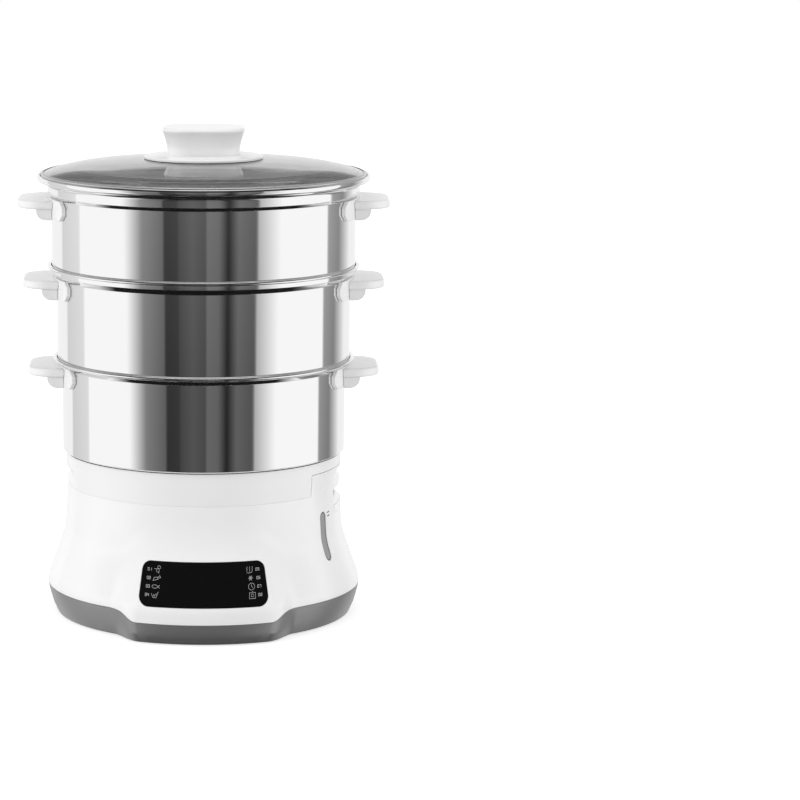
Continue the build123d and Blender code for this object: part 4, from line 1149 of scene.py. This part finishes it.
# ------------------------------------------------------------------ bowls
@dataclass(frozen=True)
class FloorPattern:
    """The perforated floor that all bowls share, with sizes in millimetres."""

    centre_hole: float = 5.0
    centre_circle: float = 20.0
    centre_count: int = 6
    egg_circle: float = 58.0
    egg_count: int = 4
    egg_ring: float = 28.2
    egg_bead: float = 0.8
    egg_hole: float = 3.75
    egg_outer_circle: float = 21.0
    egg_outer_count: int = 12
    egg_inner_circle: float = 9.5
    egg_inner_count: int = 5
    edge_circle: float = 88.0
    edge_count: int = 4
    hole_steps: int = 28
    ring_steps: int = 72
    bead_steps: int = 10

    def tree(self, name: str) -> bpy.types.NodeTree:
        """Build the tree of a bowl's floor: a plate with its holes and egg rings.

        Args:
            name: the tree's name.

        Returns:
            The tree, with the floor's radius, height and thickness as inputs.
        """
        tree = Tree(name, {"Radius": "Float", "Height": "Float", "Thickness": "Float"})

        def ring(radius: float, count: int) -> Socket:
            """Return points on a circle."""
            made = tree.add("GeometryNodeMeshCircle", "Vertices", count, "Radius", radius * MM)
            return made.outputs[0]

        def spread(points: Socket, item: Socket) -> Socket:
            """Put an item on every point and make it real."""
            made = tree.add("GeometryNodeInstanceOnPoints", "Points", points, "Instance", item)
            return tree.add("GeometryNodeRealizeInstances", "Geometry", made.outputs[0]).outputs[0]

        small = tree.circle(self.hole_steps, self.egg_hole * MM)
        large = tree.circle(self.hole_steps, self.centre_hole * MM)
        outer = spread(ring(self.egg_outer_circle, self.egg_outer_count), small)
        inner = spread(ring(self.egg_inner_circle, self.egg_inner_count), small)
        eggs = ring(self.egg_circle, self.egg_count)
        edge = ring(self.edge_circle, self.edge_count)
        eighth = (0, 0, math.pi / self.edge_count)
        corners = tree.add("GeometryNodeTransform", "Geometry", edge, "Rotation", eighth)
        outline = tree.join(
            tree.circle(TURN_STEPS, tree.size("Radius")),
            large,
            spread(ring(self.centre_circle, self.centre_count), large),
            spread(eggs, tree.join(small, outer, inner)),
            spread(corners.outputs[0], small),
        )
        under = tree.add("GeometryNodeFillCurve", "Curve", outline).outputs[0]
        thick = tree.size("Thickness")
        top = tree.add("GeometryNodeExtrudeMesh", "Mesh", under, "Offset Scale", thick)
        top.inputs["Individual"].default_value = False
        turned_over = tree.add("GeometryNodeFlipFaces", "Mesh", under).outputs[0]
        plate = tree.merged(tree.join(top.outputs[0], turned_over), MERGE)
        circle = tree.circle(self.ring_steps, self.egg_ring * MM)
        bead = tree.circle(self.bead_steps, self.egg_bead * MM)
        beads = tree.add(
            "GeometryNodeCurveToMesh", "Curve", spread(eggs, circle), "Profile Curve", bead
        )
        floor = tree.join(plate, tree.lifted(beads.outputs[0], thick))
        return tree.finish(tree.lifted(floor, tree.size("Height")))


@dataclass
class SteamingBowl:
    """One steel bowl with its two grips and wall plates, in millimetres."""

    frame: dict
    name: str
    radius: float
    floor: float
    wall_low: float
    wall_high: float
    collar_radius: float
    collar_high: float
    ledge_rise: float
    flare: Sequence[Place] = ()
    bead: Point = (1.55, 1.55)
    bead_drop: float = 0.0
    steel: float = 0.8
    nest: float = 5.3
    nest_slope: float = math.tan(math.radians(30))
    floor_lip: float = 8.0
    floor_gap: float = 7.0
    foot_rounding: float = 3.2
    shoulder_rounding: float = 1.6
    seam_rounding: float = 0.5
    flare_rounding: float = 3.0
    inward: float = -0.2
    pattern: FloorPattern = FloorPattern()

    @property
    def body(self) -> str:
        """Name of the body that the bowl's parts ride on."""
        return f"{self.name}_bowl_body"

    def outline(self) -> list[Point]:
        """Draw the bowl's outer line.

        Returns:
            Its points, from the floor's edge to the rim.
        """
        foot = self.radius - self.nest
        shoulder = self.wall_low - self.nest_slope * self.nest
        collar_low = self.wall_high + self.ledge_rise
        corners = [
            (foot - self.floor_lip, self.floor, 0.0),
            (foot, self.floor, self.foot_rounding),
            (foot, shoulder, self.shoulder_rounding),
            (self.radius, self.wall_low, self.seam_rounding),
            (self.radius, self.wall_high, self.seam_rounding),
            (self.collar_radius, collar_low, self.seam_rounding),
            (self.collar_radius, self.collar_high, self.flare_rounding if self.flare else 0.0),
            *self.flare,
        ]
        return rounded(corners)

    def build(self) -> None:
        """Build and dress the bowl and what is fixed to it."""
        outline = self.outline()
        wall = turned(f"{self.name}_bowl_wall", walled(outline, self.steel), Finish.STEEL)
        self.line_inside(wall)
        end = outline[-1]
        centre = (end[0] - self.steel + self.bead[0], end[1] - self.bead_drop)
        rim = turned(f"{self.name}_bowl_rim", oval(centre, *self.bead), Finish.STEEL)
        floor = grown(
            f"{self.name}_bowl_floor",
            bpy.data.meshes.new("floor_seed"),
            shared_tree("pierced_floor", self.pattern.tree),
            {
                "Radius": (self.radius - self.nest - self.floor_gap) * MM,
                "Height": self.floor * MM,
                "Thickness": self.steel * MM,
                "Material": Finish.STEEL_INSIDE.material(),
            },
        )
        smooth(floor.data)
        for piece in (wall, rim, floor):
            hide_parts(f"{self.name}_bowl")
            dress(piece, self.body, Finish.STEEL)
        for side in ("right", "left"):
            for part in ("grip", "handle_plate"):
                skin = fine_copy(self.frame, f"{self.name}_{part}_{side}")
                dress(skin, self.body, Finish.HANDLE)

    def line_inside(self, wall: bpy.types.Object) -> None:
        """Give the faces that look inwards the satin inner finish.

        Args:
            wall: the turned wall.
        """
        wall.data.materials.append(Finish.STEEL_INSIDE.material())
        for face in wall.data.polygons:
            centre = face.center
            radius = math.hypot(centre.x, centre.y)
            if face.normal.x * centre.x + face.normal.y * centre.y < self.inward * radius:
                face.material_index = 1


# ------------------------------------------------------------------ screws
def screw_tree(name: str) -> bpy.types.NodeTree:
    """Build the tree that puts a cross-headed screw on every point.

    Args:
        name: the tree's name.

    Returns:
        The tree, with the head's and the shank's radius and length as inputs.
    """
    head_steps, shank_steps = 28, 16
    slot_length, slot_width = 1.2, 0.26
    tree = Tree(name, {"Head": "Float", "Depth": "Float", "Shank": "Float", "Length": "Float"})
    radius, depth, length = (tree.size(label) for label in ("Head", "Depth", "Length"))

    def rod(steps: int, size: Socket, long: Socket) -> Socket:
        """Return a cylinder about its own middle."""
        feeds = ("Vertices", steps, "Radius", size, "Depth", long)
        return tree.add("GeometryNodeMeshCylinder", *feeds).outputs["Mesh"]

    head = tree.lifted(rod(head_steps, radius, depth), tree.maths("MULTIPLY", depth, 0.5))
    cut = tree.add("GeometryNodeMeshBoolean", 0, head, operation="DIFFERENCE", solver="EXACT")
    long = tree.maths("MULTIPLY", radius, slot_length)
    thin = tree.maths("MULTIPLY", radius, slot_width)
    for first, second in ((long, thin), (thin, long)):
        size = tree.add("ShaderNodeCombineXYZ", 0, first, 1, second, 2, depth).outputs[0]
        bar = tree.add("GeometryNodeMeshCube", "Size", size).outputs["Mesh"]
        tree.tree.links.new(tree.lifted(bar, depth), cut.inputs[1])
    half_down = tree.maths("MULTIPLY", length, -0.5)
    shank = tree.lifted(rod(shank_steps, tree.size("Shank"), length), half_down)
    way = tree.add("GeometryNodeInputNamedAttribute", "Name", "way", data_type="FLOAT_VECTOR")
    facing = next(out for out in way.outputs if out.enabled and out.name == "Attribute")
    turn = tree.add("FunctionNodeAlignRotationToVector", "Vector", facing, axis="Z").outputs[0]
    points = ("Points", tree.size("Geometry"), "Instance", tree.join(cut.outputs[0], shank))
    made = tree.add("GeometryNodeInstanceOnPoints", *points, "Rotation", turn)
    return tree.finish(made.outputs[0])


@dataclass(frozen=True)
class ScrewSet:
    """Identical screws of one body, each at a place and facing a way, in millimetres."""

    node: str
    body: str
    places: tuple[Place, ...]
    ways: tuple[Place, ...]
    head: float
    depth: float
    shank: float
    length: float

    def build(self) -> None:
        """Build the screws as one piece that stands for their CAD node."""
        base = bpy.data.meshes.new(f"{self.node}_places")
        base.from_pydata([tuple(MM * v for v in place) for place in self.places], [], [])
        ways = base.attributes.new("way", "FLOAT_VECTOR", "POINT")
        for index, way in enumerate(self.ways):
            ways.data[index].vector = way
        sizes = {
            "Head": self.head * MM,
            "Depth": self.depth * MM,
            "Shank": self.shank * MM,
            "Length": self.length * MM,
            "Material": Finish.SCREW.material(),
        }
        piece = grown(f"{self.node}_fine", base, shared_tree("cross_screws", screw_tree), sizes)
        if "way" in piece.data.attributes:
            piece.data.attributes.remove(piece.data.attributes["way"])
        smooth(piece.data)
        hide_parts(self.node)
        dress(piece, self.body, Finish.SCREW)


def around(circle: float, height: float, angles: Iterable[float]) -> tuple[Place, ...]:
    """Return places on a circle about the axis, in millimetres."""
    turns = [math.radians(angle) for angle in angles]
    return tuple((circle * math.cos(t), circle * math.sin(t), height) for t in turns)


def handle_screws(name: str, radius: float, height: float) -> ScrewSet:
    """Describe the four screws that hold one bowl's grips.

    Args:
        name: the bowl's name.
        radius: the radius of its wall, in millimetres.
        height: the screws' height.

    Returns:
        The screws.
    """
    angles, seat = (-9.0, 9.0, 171.0, 189.0), 0.95
    return ScrewSet(
        node=f"{name}_handle_screws",
        body=f"{name}_bowl_body",
        places=around(radius - seat, height, angles),
        ways=tuple((-x, -y, 0.0) for x, y, _ in around(1.0, 0.0, angles)),
        head=3.2,
        depth=1.8,
        shank=1.8,
        length=9.4,
    )


# ------------------------------------------------------------------ lid
def rounded_square(width: float, corner: float, steps: int = 16) -> list[Point]:
    """Draw a square with rounded corners about the axis.

    Args:
        width: the square's width.
        corner: the rounding of its corners.
        steps: how many steps make one rounding.

    Returns:
        The outline's points.
    """
    reach = width / 2 - corner
    points: list[Point] = []
    for quarter, (x, y) in enumerate(((1, 1), (-1, 1), (-1, -1), (1, -1))):
        for step in range(steps + 1):
            t = math.pi / 2 * (quarter + step / steps)
            points.append((x * reach + corner * math.cos(t), y * reach + corner * math.sin(t)))
    return points


@dataclass
class DomedLid:
    """The glass lid with its steel band, white plate and knob, in millimetres.

    The rim's section is a closed line of (radius, height). Each of the knob's
    rings has its rise over the knob's base, its width and its corner's rounding.
    """

    frame: dict
    body: str = "lid"
    edge_radius: float = 132.3
    edge_top: float = 364.388
    shoulder_radius: float = 100.0
    crown_rise: float = 13.0
    shoulder_rise: float = 7.4
    glass: float = 3.5
    hole: float = 2.7
    crown_steps: int = 40
    shoulder_steps: int = 16
    edge_bevel: Point = (0.3, 0.05)
    edge_lift: float = 0.4
    knob_base: float = 380.34
    rim_section: Sequence[Point] = (
        (131.8, 360.2),
        (133.55, 360.2),
        (133.55, 364.0),
        (133.4, 364.5),
        (133.0, 364.8),
        (132.4, 365.02),
        (131.3, 365.42),
        (131.1, 365.35),
        (131.05, 365.05),
        (131.3, 364.82),
        (132.38, 364.46),
        (132.38, 360.8),
        (131.8, 360.8),
    )
    knob_rings: Sequence[Place] = (
        (0.0, 60.0, 21.0),
        (3.2, 60.0, 21.0),
        (6.5, 60.1, 21.1),
        (8.6, 60.9, 21.3),
        (10.6, 61.9, 21.8),
        (12.6, 63.0, 22.3),
        (14.6, 64.2, 22.8),
        (16.6, 65.6, 23.3),
        (18.2, 66.8, 23.7),
        (19.3, 67.6, 24.0),
        (20.0, 67.6, 24.0),
        (20.7, 67.0, 23.8),
        (21.2, 66.0, 23.4),
        (21.45, 64.6, 22.8),
        (21.5, 62.8, 22.0),
    )

    def dome(self, drop: float) -> list[Point]:
        """Draw one face of the glass: a wide crown arc and a tighter shoulder arc.

        Args:
            drop: how far the face lies under the outer one.

        Returns:
            The line's points, from the hole to the edge.
        """
        apex = self.edge_top + self.crown_rise
        fall = self.crown_rise - self.shoulder_rise
        big = (self.shoulder_radius**2 + fall**2) / (2 * fall)
        points: list[Point] = []
        for step in range(self.crown_steps + 1):
            r = self.hole + (self.shoulder_radius - self.hole) * step / self.crown_steps
            points.append((r, apex - big + math.sqrt(big**2 - r**2) - drop))
        start = Vector(points[-1])
        chord = Vector((self.edge_radius, self.edge_top - drop)) - start
        across = math.sqrt(big**2 - self.shoulder_radius**2)
        way = Vector((across, -self.shoulder_radius)).normalized()
        bend = abs(way.angle_signed(chord))
        small = chord.length / (2 * math.sin(bend))
        middle = start + Vector((way.y, -way.x)) * small
        arm = start - middle
        for step in range(1, self.shoulder_steps + 1):
            turn = Matrix.Rotation(-2 * bend * step / self.shoulder_steps, 2)
            points.append(tuple(middle + turn @ arm))
        return points

    def glass_section(self) -> list[Point]:
        """Close the glass's section with a slightly bevelled edge.

        Returns:
            The section's points.
        """
        upper, lower = self.dome(0.0), self.dome(self.glass)
        (top_radius, top), (low_radius, low) = upper[-1], lower[-1]
        bevel = (top_radius - self.edge_bevel[0], top + self.edge_bevel[1])
        foot = (low_radius, low + self.edge_lift)
        return [*upper[:-1], bevel, upper[-1], foot, *reversed(lower)]

    def build(self) -> None:
        """Build and dress the lid."""
        glass = turned("lid_glass_dome", self.glass_section(), Finish.GLASS, SHARP_ANGLE)
        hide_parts("lid_glass")
        dress(glass, self.body, Finish.GLASS)
        rim = turned("lid_rim_band", self.rim_section, Finish.RIM, SHARP_ANGLE)
        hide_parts("lid_rim")
        dress(rim, self.body, Finish.RIM)
        for node, finish in (
            ("knob_plate", Finish.WHITE),
            ("knob_gasket", Finish.SILICONE),
            ("knob_washer", Finish.SCREW),
            ("knob_screw", Finish.SCREW),
        ):
            dress(fine_copy(self.frame, node), self.body, finish)
        dress(self.knob(), self.body, Finish.WHITE)

    def knob(self) -> bpy.types.Object:
        """Build the flared, rounded-square knob.

        Returns:
            The piece, not yet dressed.
        """
        form = bmesh.new()
        rings = []
        for rise, width, corner in self.knob_rings:
            z = self.knob_base + rise
            rings.append([(x * MM, y * MM, z * MM) for x, y in rounded_square(width, corner)])
        stacked(form, rings)
        mesh = made_mesh("lid_knob_fine", form)
        outward(mesh)
        smooth(mesh, KNOB_ANGLE)
        piece = link_mesh("lid_knob_fine", mesh)
        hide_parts("lid_knob")
        return piece


# ------------------------------------------------------------------ studio
@dataclass(frozen=True)
class Card:
    """A tall studio card that only mirrors show, with its level at both edges."""

    start: float
    level: float
    end_level: float


@dataclass(frozen=True)
class Height:
    """What mirrors show at one elevation: the cards' share and two plain levels."""

    elevation: float
    cards: float
    room: float
    rear: float


@dataclass(frozen=True)
class Lamp:
    """A large square lamp, with its place and size in metres and power in watts."""

    name: str
    place: Place
    size: float
    power: float


@dataclass
class Studio:
    """White room with dark cards behind the camera, soft lamps, floor and camera.

    Angles are in degrees. Those about the axis are 0 towards the camera and
    grow to the right.
    """

    eye: Place = (0.0, -2.53507, 0.61516)
    pitch: float = 9.85
    lens: float = 139.5
    sensor: float = 36.0
    shift: float = 0.2455
    far: float = 50.0
    floor_radius: float = 9.0
    floor_steps: int = 96
    floor_level: float = 0.78
    floor_glow: float = 0.5
    card_blur: float = 0.4
    low_start: float = -0.15
    low_end: float = -0.24
    low_power: float = 1.22
    lamp_aim: Place = (0.0, 0.0, 0.2)
    lamps: tuple[Lamp, ...] = (
        Lamp("key_lamp", (-2.5, -1.2, 1.8), 2.0, 24.0),
        Lamp("fill_lamp", (2.6, -1.0, 1.5), 2.4, 14.0),
    )
    cards: tuple[Card, ...] = (
        Card(-180.0, 0.94, 0.94),
        Card(-135.0, 0.68, 0.78),
        Card(-108.0, 1.0, 1.0),
        Card(-62.0, 1.0, 0.28),
        Card(-47.0, 0.28, 0.17),
        Card(-30.0, 0.06, 0.07),
        Card(-19.0, 0.1, 0.14),
        Card(-8.0, 0.14, 0.11),
        Card(2.0, 0.2, 0.18),
        Card(12.0, 0.18, 0.03),
        Card(19.0, 0.03, 0.18),
        Card(27.0, 0.18, 0.13),
        Card(41.0, 0.5, 1.0),
        Card(61.0, 1.0, 1.0),
        Card(108.0, 0.36, 0.26),
        Card(124.0, 0.26, 0.92),
        Card(145.0, 0.92, 0.94),
    )
    heights: tuple[Height, ...] = (
        Height(-90.0, 0.0, 0.008, 0.0),
        Height(-52.0, 0.0, 0.012, 0.0),
        Height(-44.0, 1.0, 0.0, 0.0),
        Height(12.6, 1.0, 0.0, 0.0),
        Height(14.2, 0.0, 0.02, 0.34),
        Height(57.0, 0.0, 0.03, 0.34),
        Height(64.0, 0.0, 0.85, 0.0),
        Height(90.0, 0.0, 0.95, 0.0),
    )
    behind: tuple[Point, ...] = (
        (-180.0, 1.0),
        (-100.0, 1.0),
        (-75.0, 0.0),
        (75.0, 0.0),
        (100.0, 1.0),
        (180.0, 1.0),
    )
    soft: tuple[Point, ...] = (
        (-180.0, 0.86),
        (-130.0, 0.94),
        (-85.0, 1.2),
        (-45.0, 0.98),
        (0.0, 0.6),
        (45.0, 0.88),
        (85.0, 1.18),
        (130.0, 0.94),
        (180.0, 0.86),
    )

    def build(self) -> None:
        """Build the whole studio."""
        self.hang_world()
        self.lay_floor()
        self.hang_lamps()
        self.set_camera()

    def card_stops(self) -> list[Point]:
        """List the cards' levels, with a narrow blur at each edge.

        Returns:
            Stops of an angle and a level.
        """
        ends = [card.start for card in self.cards[1:]] + [180.0]
        stops: list[Point] = []
        for card, end in zip(self.cards, ends):
            if not stops or stops[-1][1] != card.level:
                stops.append((card.start + self.card_blur, card.level))
            stops.append((end - self.card_blur, card.end_level))
        return stops

    def mirror_level(self, graph: Graph, turn: Callable[[Sequence[Point]], Socket]) -> Socket:
        """Work out what mirrors show in each direction.

        Args:
            graph: the world's graph.
            turn: turns stops of an angle and a level into the level.

        Returns:
            The level.
        """
        where = graph.add("ShaderNodeTexCoord").outputs["Generated"]
        up = graph.add("ShaderNodeSeparateXYZ", Vector=where).outputs[2]
        height = graph.share(up, -1.0, 1.0)
        sines = [math.sin(math.radians(step.elevation)) for step in self.heights]
        wide, room, rear = (
            graph.ramp(height, [(0.5 + 0.5 * sine, level) for sine, level in zip(sines, levels)])
            for levels in zip(*((step.cards, step.room, step.rear) for step in self.heights))
        )
        deeper = graph.spread(graph.share(up, self.low_start, self.low_end), 1.0, self.low_power)
        cards = graph.maths("POWER", turn(self.card_stops()), deeper)
        front = graph.maths("ADD", graph.maths("MULTIPLY", cards, wide), room)
        return graph.maths("ADD", front, graph.maths("MULTIPLY", rear, turn(self.behind)))

    def hang_world(self) -> None:
        """Make the white surroundings, with cards that only mirrors show."""
        world = bpy.data.worlds.new("white_room")
        bpy.context.scene.world = world
        world.use_nodes = True
        graph = Graph(world.node_tree)
        where = graph.add("ShaderNodeTexCoord").outputs["Generated"]
        apart = graph.add("ShaderNodeSeparateXYZ", Vector=where)
        ahead = graph.maths("MULTIPLY", apart.outputs[1], -1.0)
        angle = graph.maths("ARCTAN2", apart.outputs[0], ahead)
        around_axis = graph.share(angle, -math.pi, math.pi)

        def turn(stops: Sequence[Point]) -> Socket:
            """Turn stops of an angle and a level into the level."""
            return graph.ramp(around_axis, [((t + 180.0) / 360.0, level) for t, level in stops])

        def light(level: float | Socket) -> Socket:
            """Return a plain white background."""
            node = graph.add("ShaderNodeBackground", Color=WHITE_LIGHT, Strength=level)
            return node.outputs[0]

        rays = graph.add("ShaderNodeLightPath").outputs
        straight = graph.maths("LESS_THAN", rays["Glossy Depth"], 0.5)
        through = graph.maths("MULTIPLY", rays["Is Transmission Ray"], straight)
        inside = graph.maths("SUBTRACT", rays["Is Transmission Ray"], through)
        mirrored = graph.maths("MAXIMUM", rays["Is Glossy Ray"], inside)
        seen = graph.maths("MAXIMUM", rays["Is Camera Ray"], through)
        mirror = light(self.mirror_level(graph, turn))
        shiny = graph.pair("ShaderNodeMixShader", light(turn(self.soft)), mirror, Fac=mirrored)
        whole = graph.pair("ShaderNodeMixShader", shiny.outputs[0], light(1.0), Fac=seen)
        graph.add("ShaderNodeOutputWorld", Surface=whole.outputs[0])

    def lay_floor(self) -> None:
        """Lay the pale floor, which shows the shadow but no edge."""
        form = bmesh.new()
        bmesh.ops.create_circle(
            form, cap_ends=True, cap_tris=True, segments=self.floor_steps, radius=self.floor_radius
        )
        mesh = made_mesh("studio_floor", form)
        material, graph = new_material("studio_floor")
        pale = (self.floor_level,) * 3
        matt = graph.add("ShaderNodeBsdfDiffuse", Color=pale).outputs[0]
        glow = graph.add("ShaderNodeEmission", Color=WHITE_LIGHT, Strength=self.floor_glow)
        lit = graph.pair("ShaderNodeAddShader", matt, glow.outputs[0]).outputs[0]
        camera_ray = graph.add("ShaderNodeLightPath").outputs["Is Camera Ray"]
        mixed = graph.pair("ShaderNodeMixShader", matt, lit, Fac=camera_ray)
        graph.add("ShaderNodeOutputMaterial", Surface=mixed.outputs[0])
        mesh.materials.append(material)
        ground = link_mesh("studio_floor", mesh)
        ground.visible_glossy = False
        ground.visible_transmission = False

    def hang_lamps(self) -> None:
        """Hang the large soft lamps, which mirrors don't show."""
        for lamp in self.lamps:
            data = bpy.data.lights.new(lamp.name, "AREA")
            data.size = lamp.size
            data.energy = lamp.power
            thing = bpy.data.objects.new(lamp.name, data)
            thing.location = lamp.place
            way = Vector(self.lamp_aim) - Vector(lamp.place)
            thing.rotation_euler = way.to_track_quat("-Z", "Y").to_euler()
            thing.visible_glossy = False
            bpy.context.scene.collection.objects.link(thing)

    def set_camera(self) -> None:
        """Set the camera at the viewing angle."""
        data = bpy.data.cameras.new("camera")
        data.lens = self.lens
        data.sensor_width = self.sensor
        data.shift_x = self.shift
        data.clip_end = self.far
        camera = bpy.data.objects.new("camera", data)
        camera.location = self.eye
        camera.rotation_euler = (math.radians(90.0 - self.pitch), 0.0, 0.0)
        bpy.context.scene.collection.objects.link(camera)
        bpy.context.scene.camera = camera


# ------------------------------------------------------------------ the whole steamer
def steamer_bowls(frame: dict) -> list[SteamingBowl]:
    """Describe the three bowls.


    Returns:
        The bowls, from the lowest up.
    """
    return [
        SteamingBowl(
            frame,
            "bottom",
            radius=116.8,
            floor=127.461,
            wall_low=136.521,
            wall_high=206.6,
            collar_radius=122.0,
            collar_high=212.2,
            ledge_rise=3.6,
        ),
        SteamingBowl(
            frame,
            "middle",
            radius=120.8,
            floor=203.398,
            wall_low=212.458,
            wall_high=279.4,
            collar_radius=126.0,
            collar_high=288.7,
            ledge_rise=4.4,
        ),
        SteamingBowl(
            frame,
            "top",
            radius=124.8,
            floor=275.635,
            wall_low=284.695,
            wall_high=345.8,
            collar_radius=128.2,
            collar_high=356.0,
            ledge_rise=3.0,
            flare=((134.9, 359.9, 2.0), (134.9, 362.512, 0.0)),
            bead=(1.3, 2.6),
            bead_drop=1.3,
        ),
    ]


def screw_sets() -> list[ScrewSet]:
    """Describe all the screws.

    Returns:
        One set for each CAD node of screws that sits on a body's outside or inside.
    """
    down, up = (0.0, 0.0, -1.0), (0.0, 0.0, 1.0)
    posts = around(105.0, 4.0, (60, 120, 180, 240, 300))
    clamps = around(53.0, 41.7, (90, 210, 330))
    corners = tuple((x, y, 14.1) for x in (-33.0, 33.0) for y in (51.0, 85.0))
    fixed = (
        ("base_screws", posts, down, {"head": 3.0, "depth": 2.0, "shank": 1.5, "length": 16.4}),
        ("clamp_screws", clamps, down, {"head": 3.0, "depth": 1.6, "shank": 1.5, "length": 5.1}),
        ("board_screws", corners, up, {"head": 2.6, "depth": 1.6, "shank": 1.3, "length": 7.5}),
    )
    held = (("bottom", 116.8, 197.321), ("middle", 120.8, 269.558), ("top", 124.8, 334.995))
    return [
        *(
            ScrewSet(node, "base", places, (way,) * len(places), **sizes)
            for node, places, way, sizes in fixed
        ),
        *(handle_screws(name, radius, height) for name, radius, height in held),
    ]


def main() -> None:
    """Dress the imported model, piece by piece."""
    logging.basicConfig(level=logging.INFO, format="%(name)s: %(message)s")
    bpy.context.scene.view_settings.view_transform = "Standard"
    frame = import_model()
    HeatedBase(frame).build()
    JuiceCollector(frame).build()
    for bowl in steamer_bowls(frame):
        bowl.build()
    for screws in screw_sets():
        screws.build()
    DomedLid(frame).build()
    Studio().build()


if __name__ == "__main__":
    main()
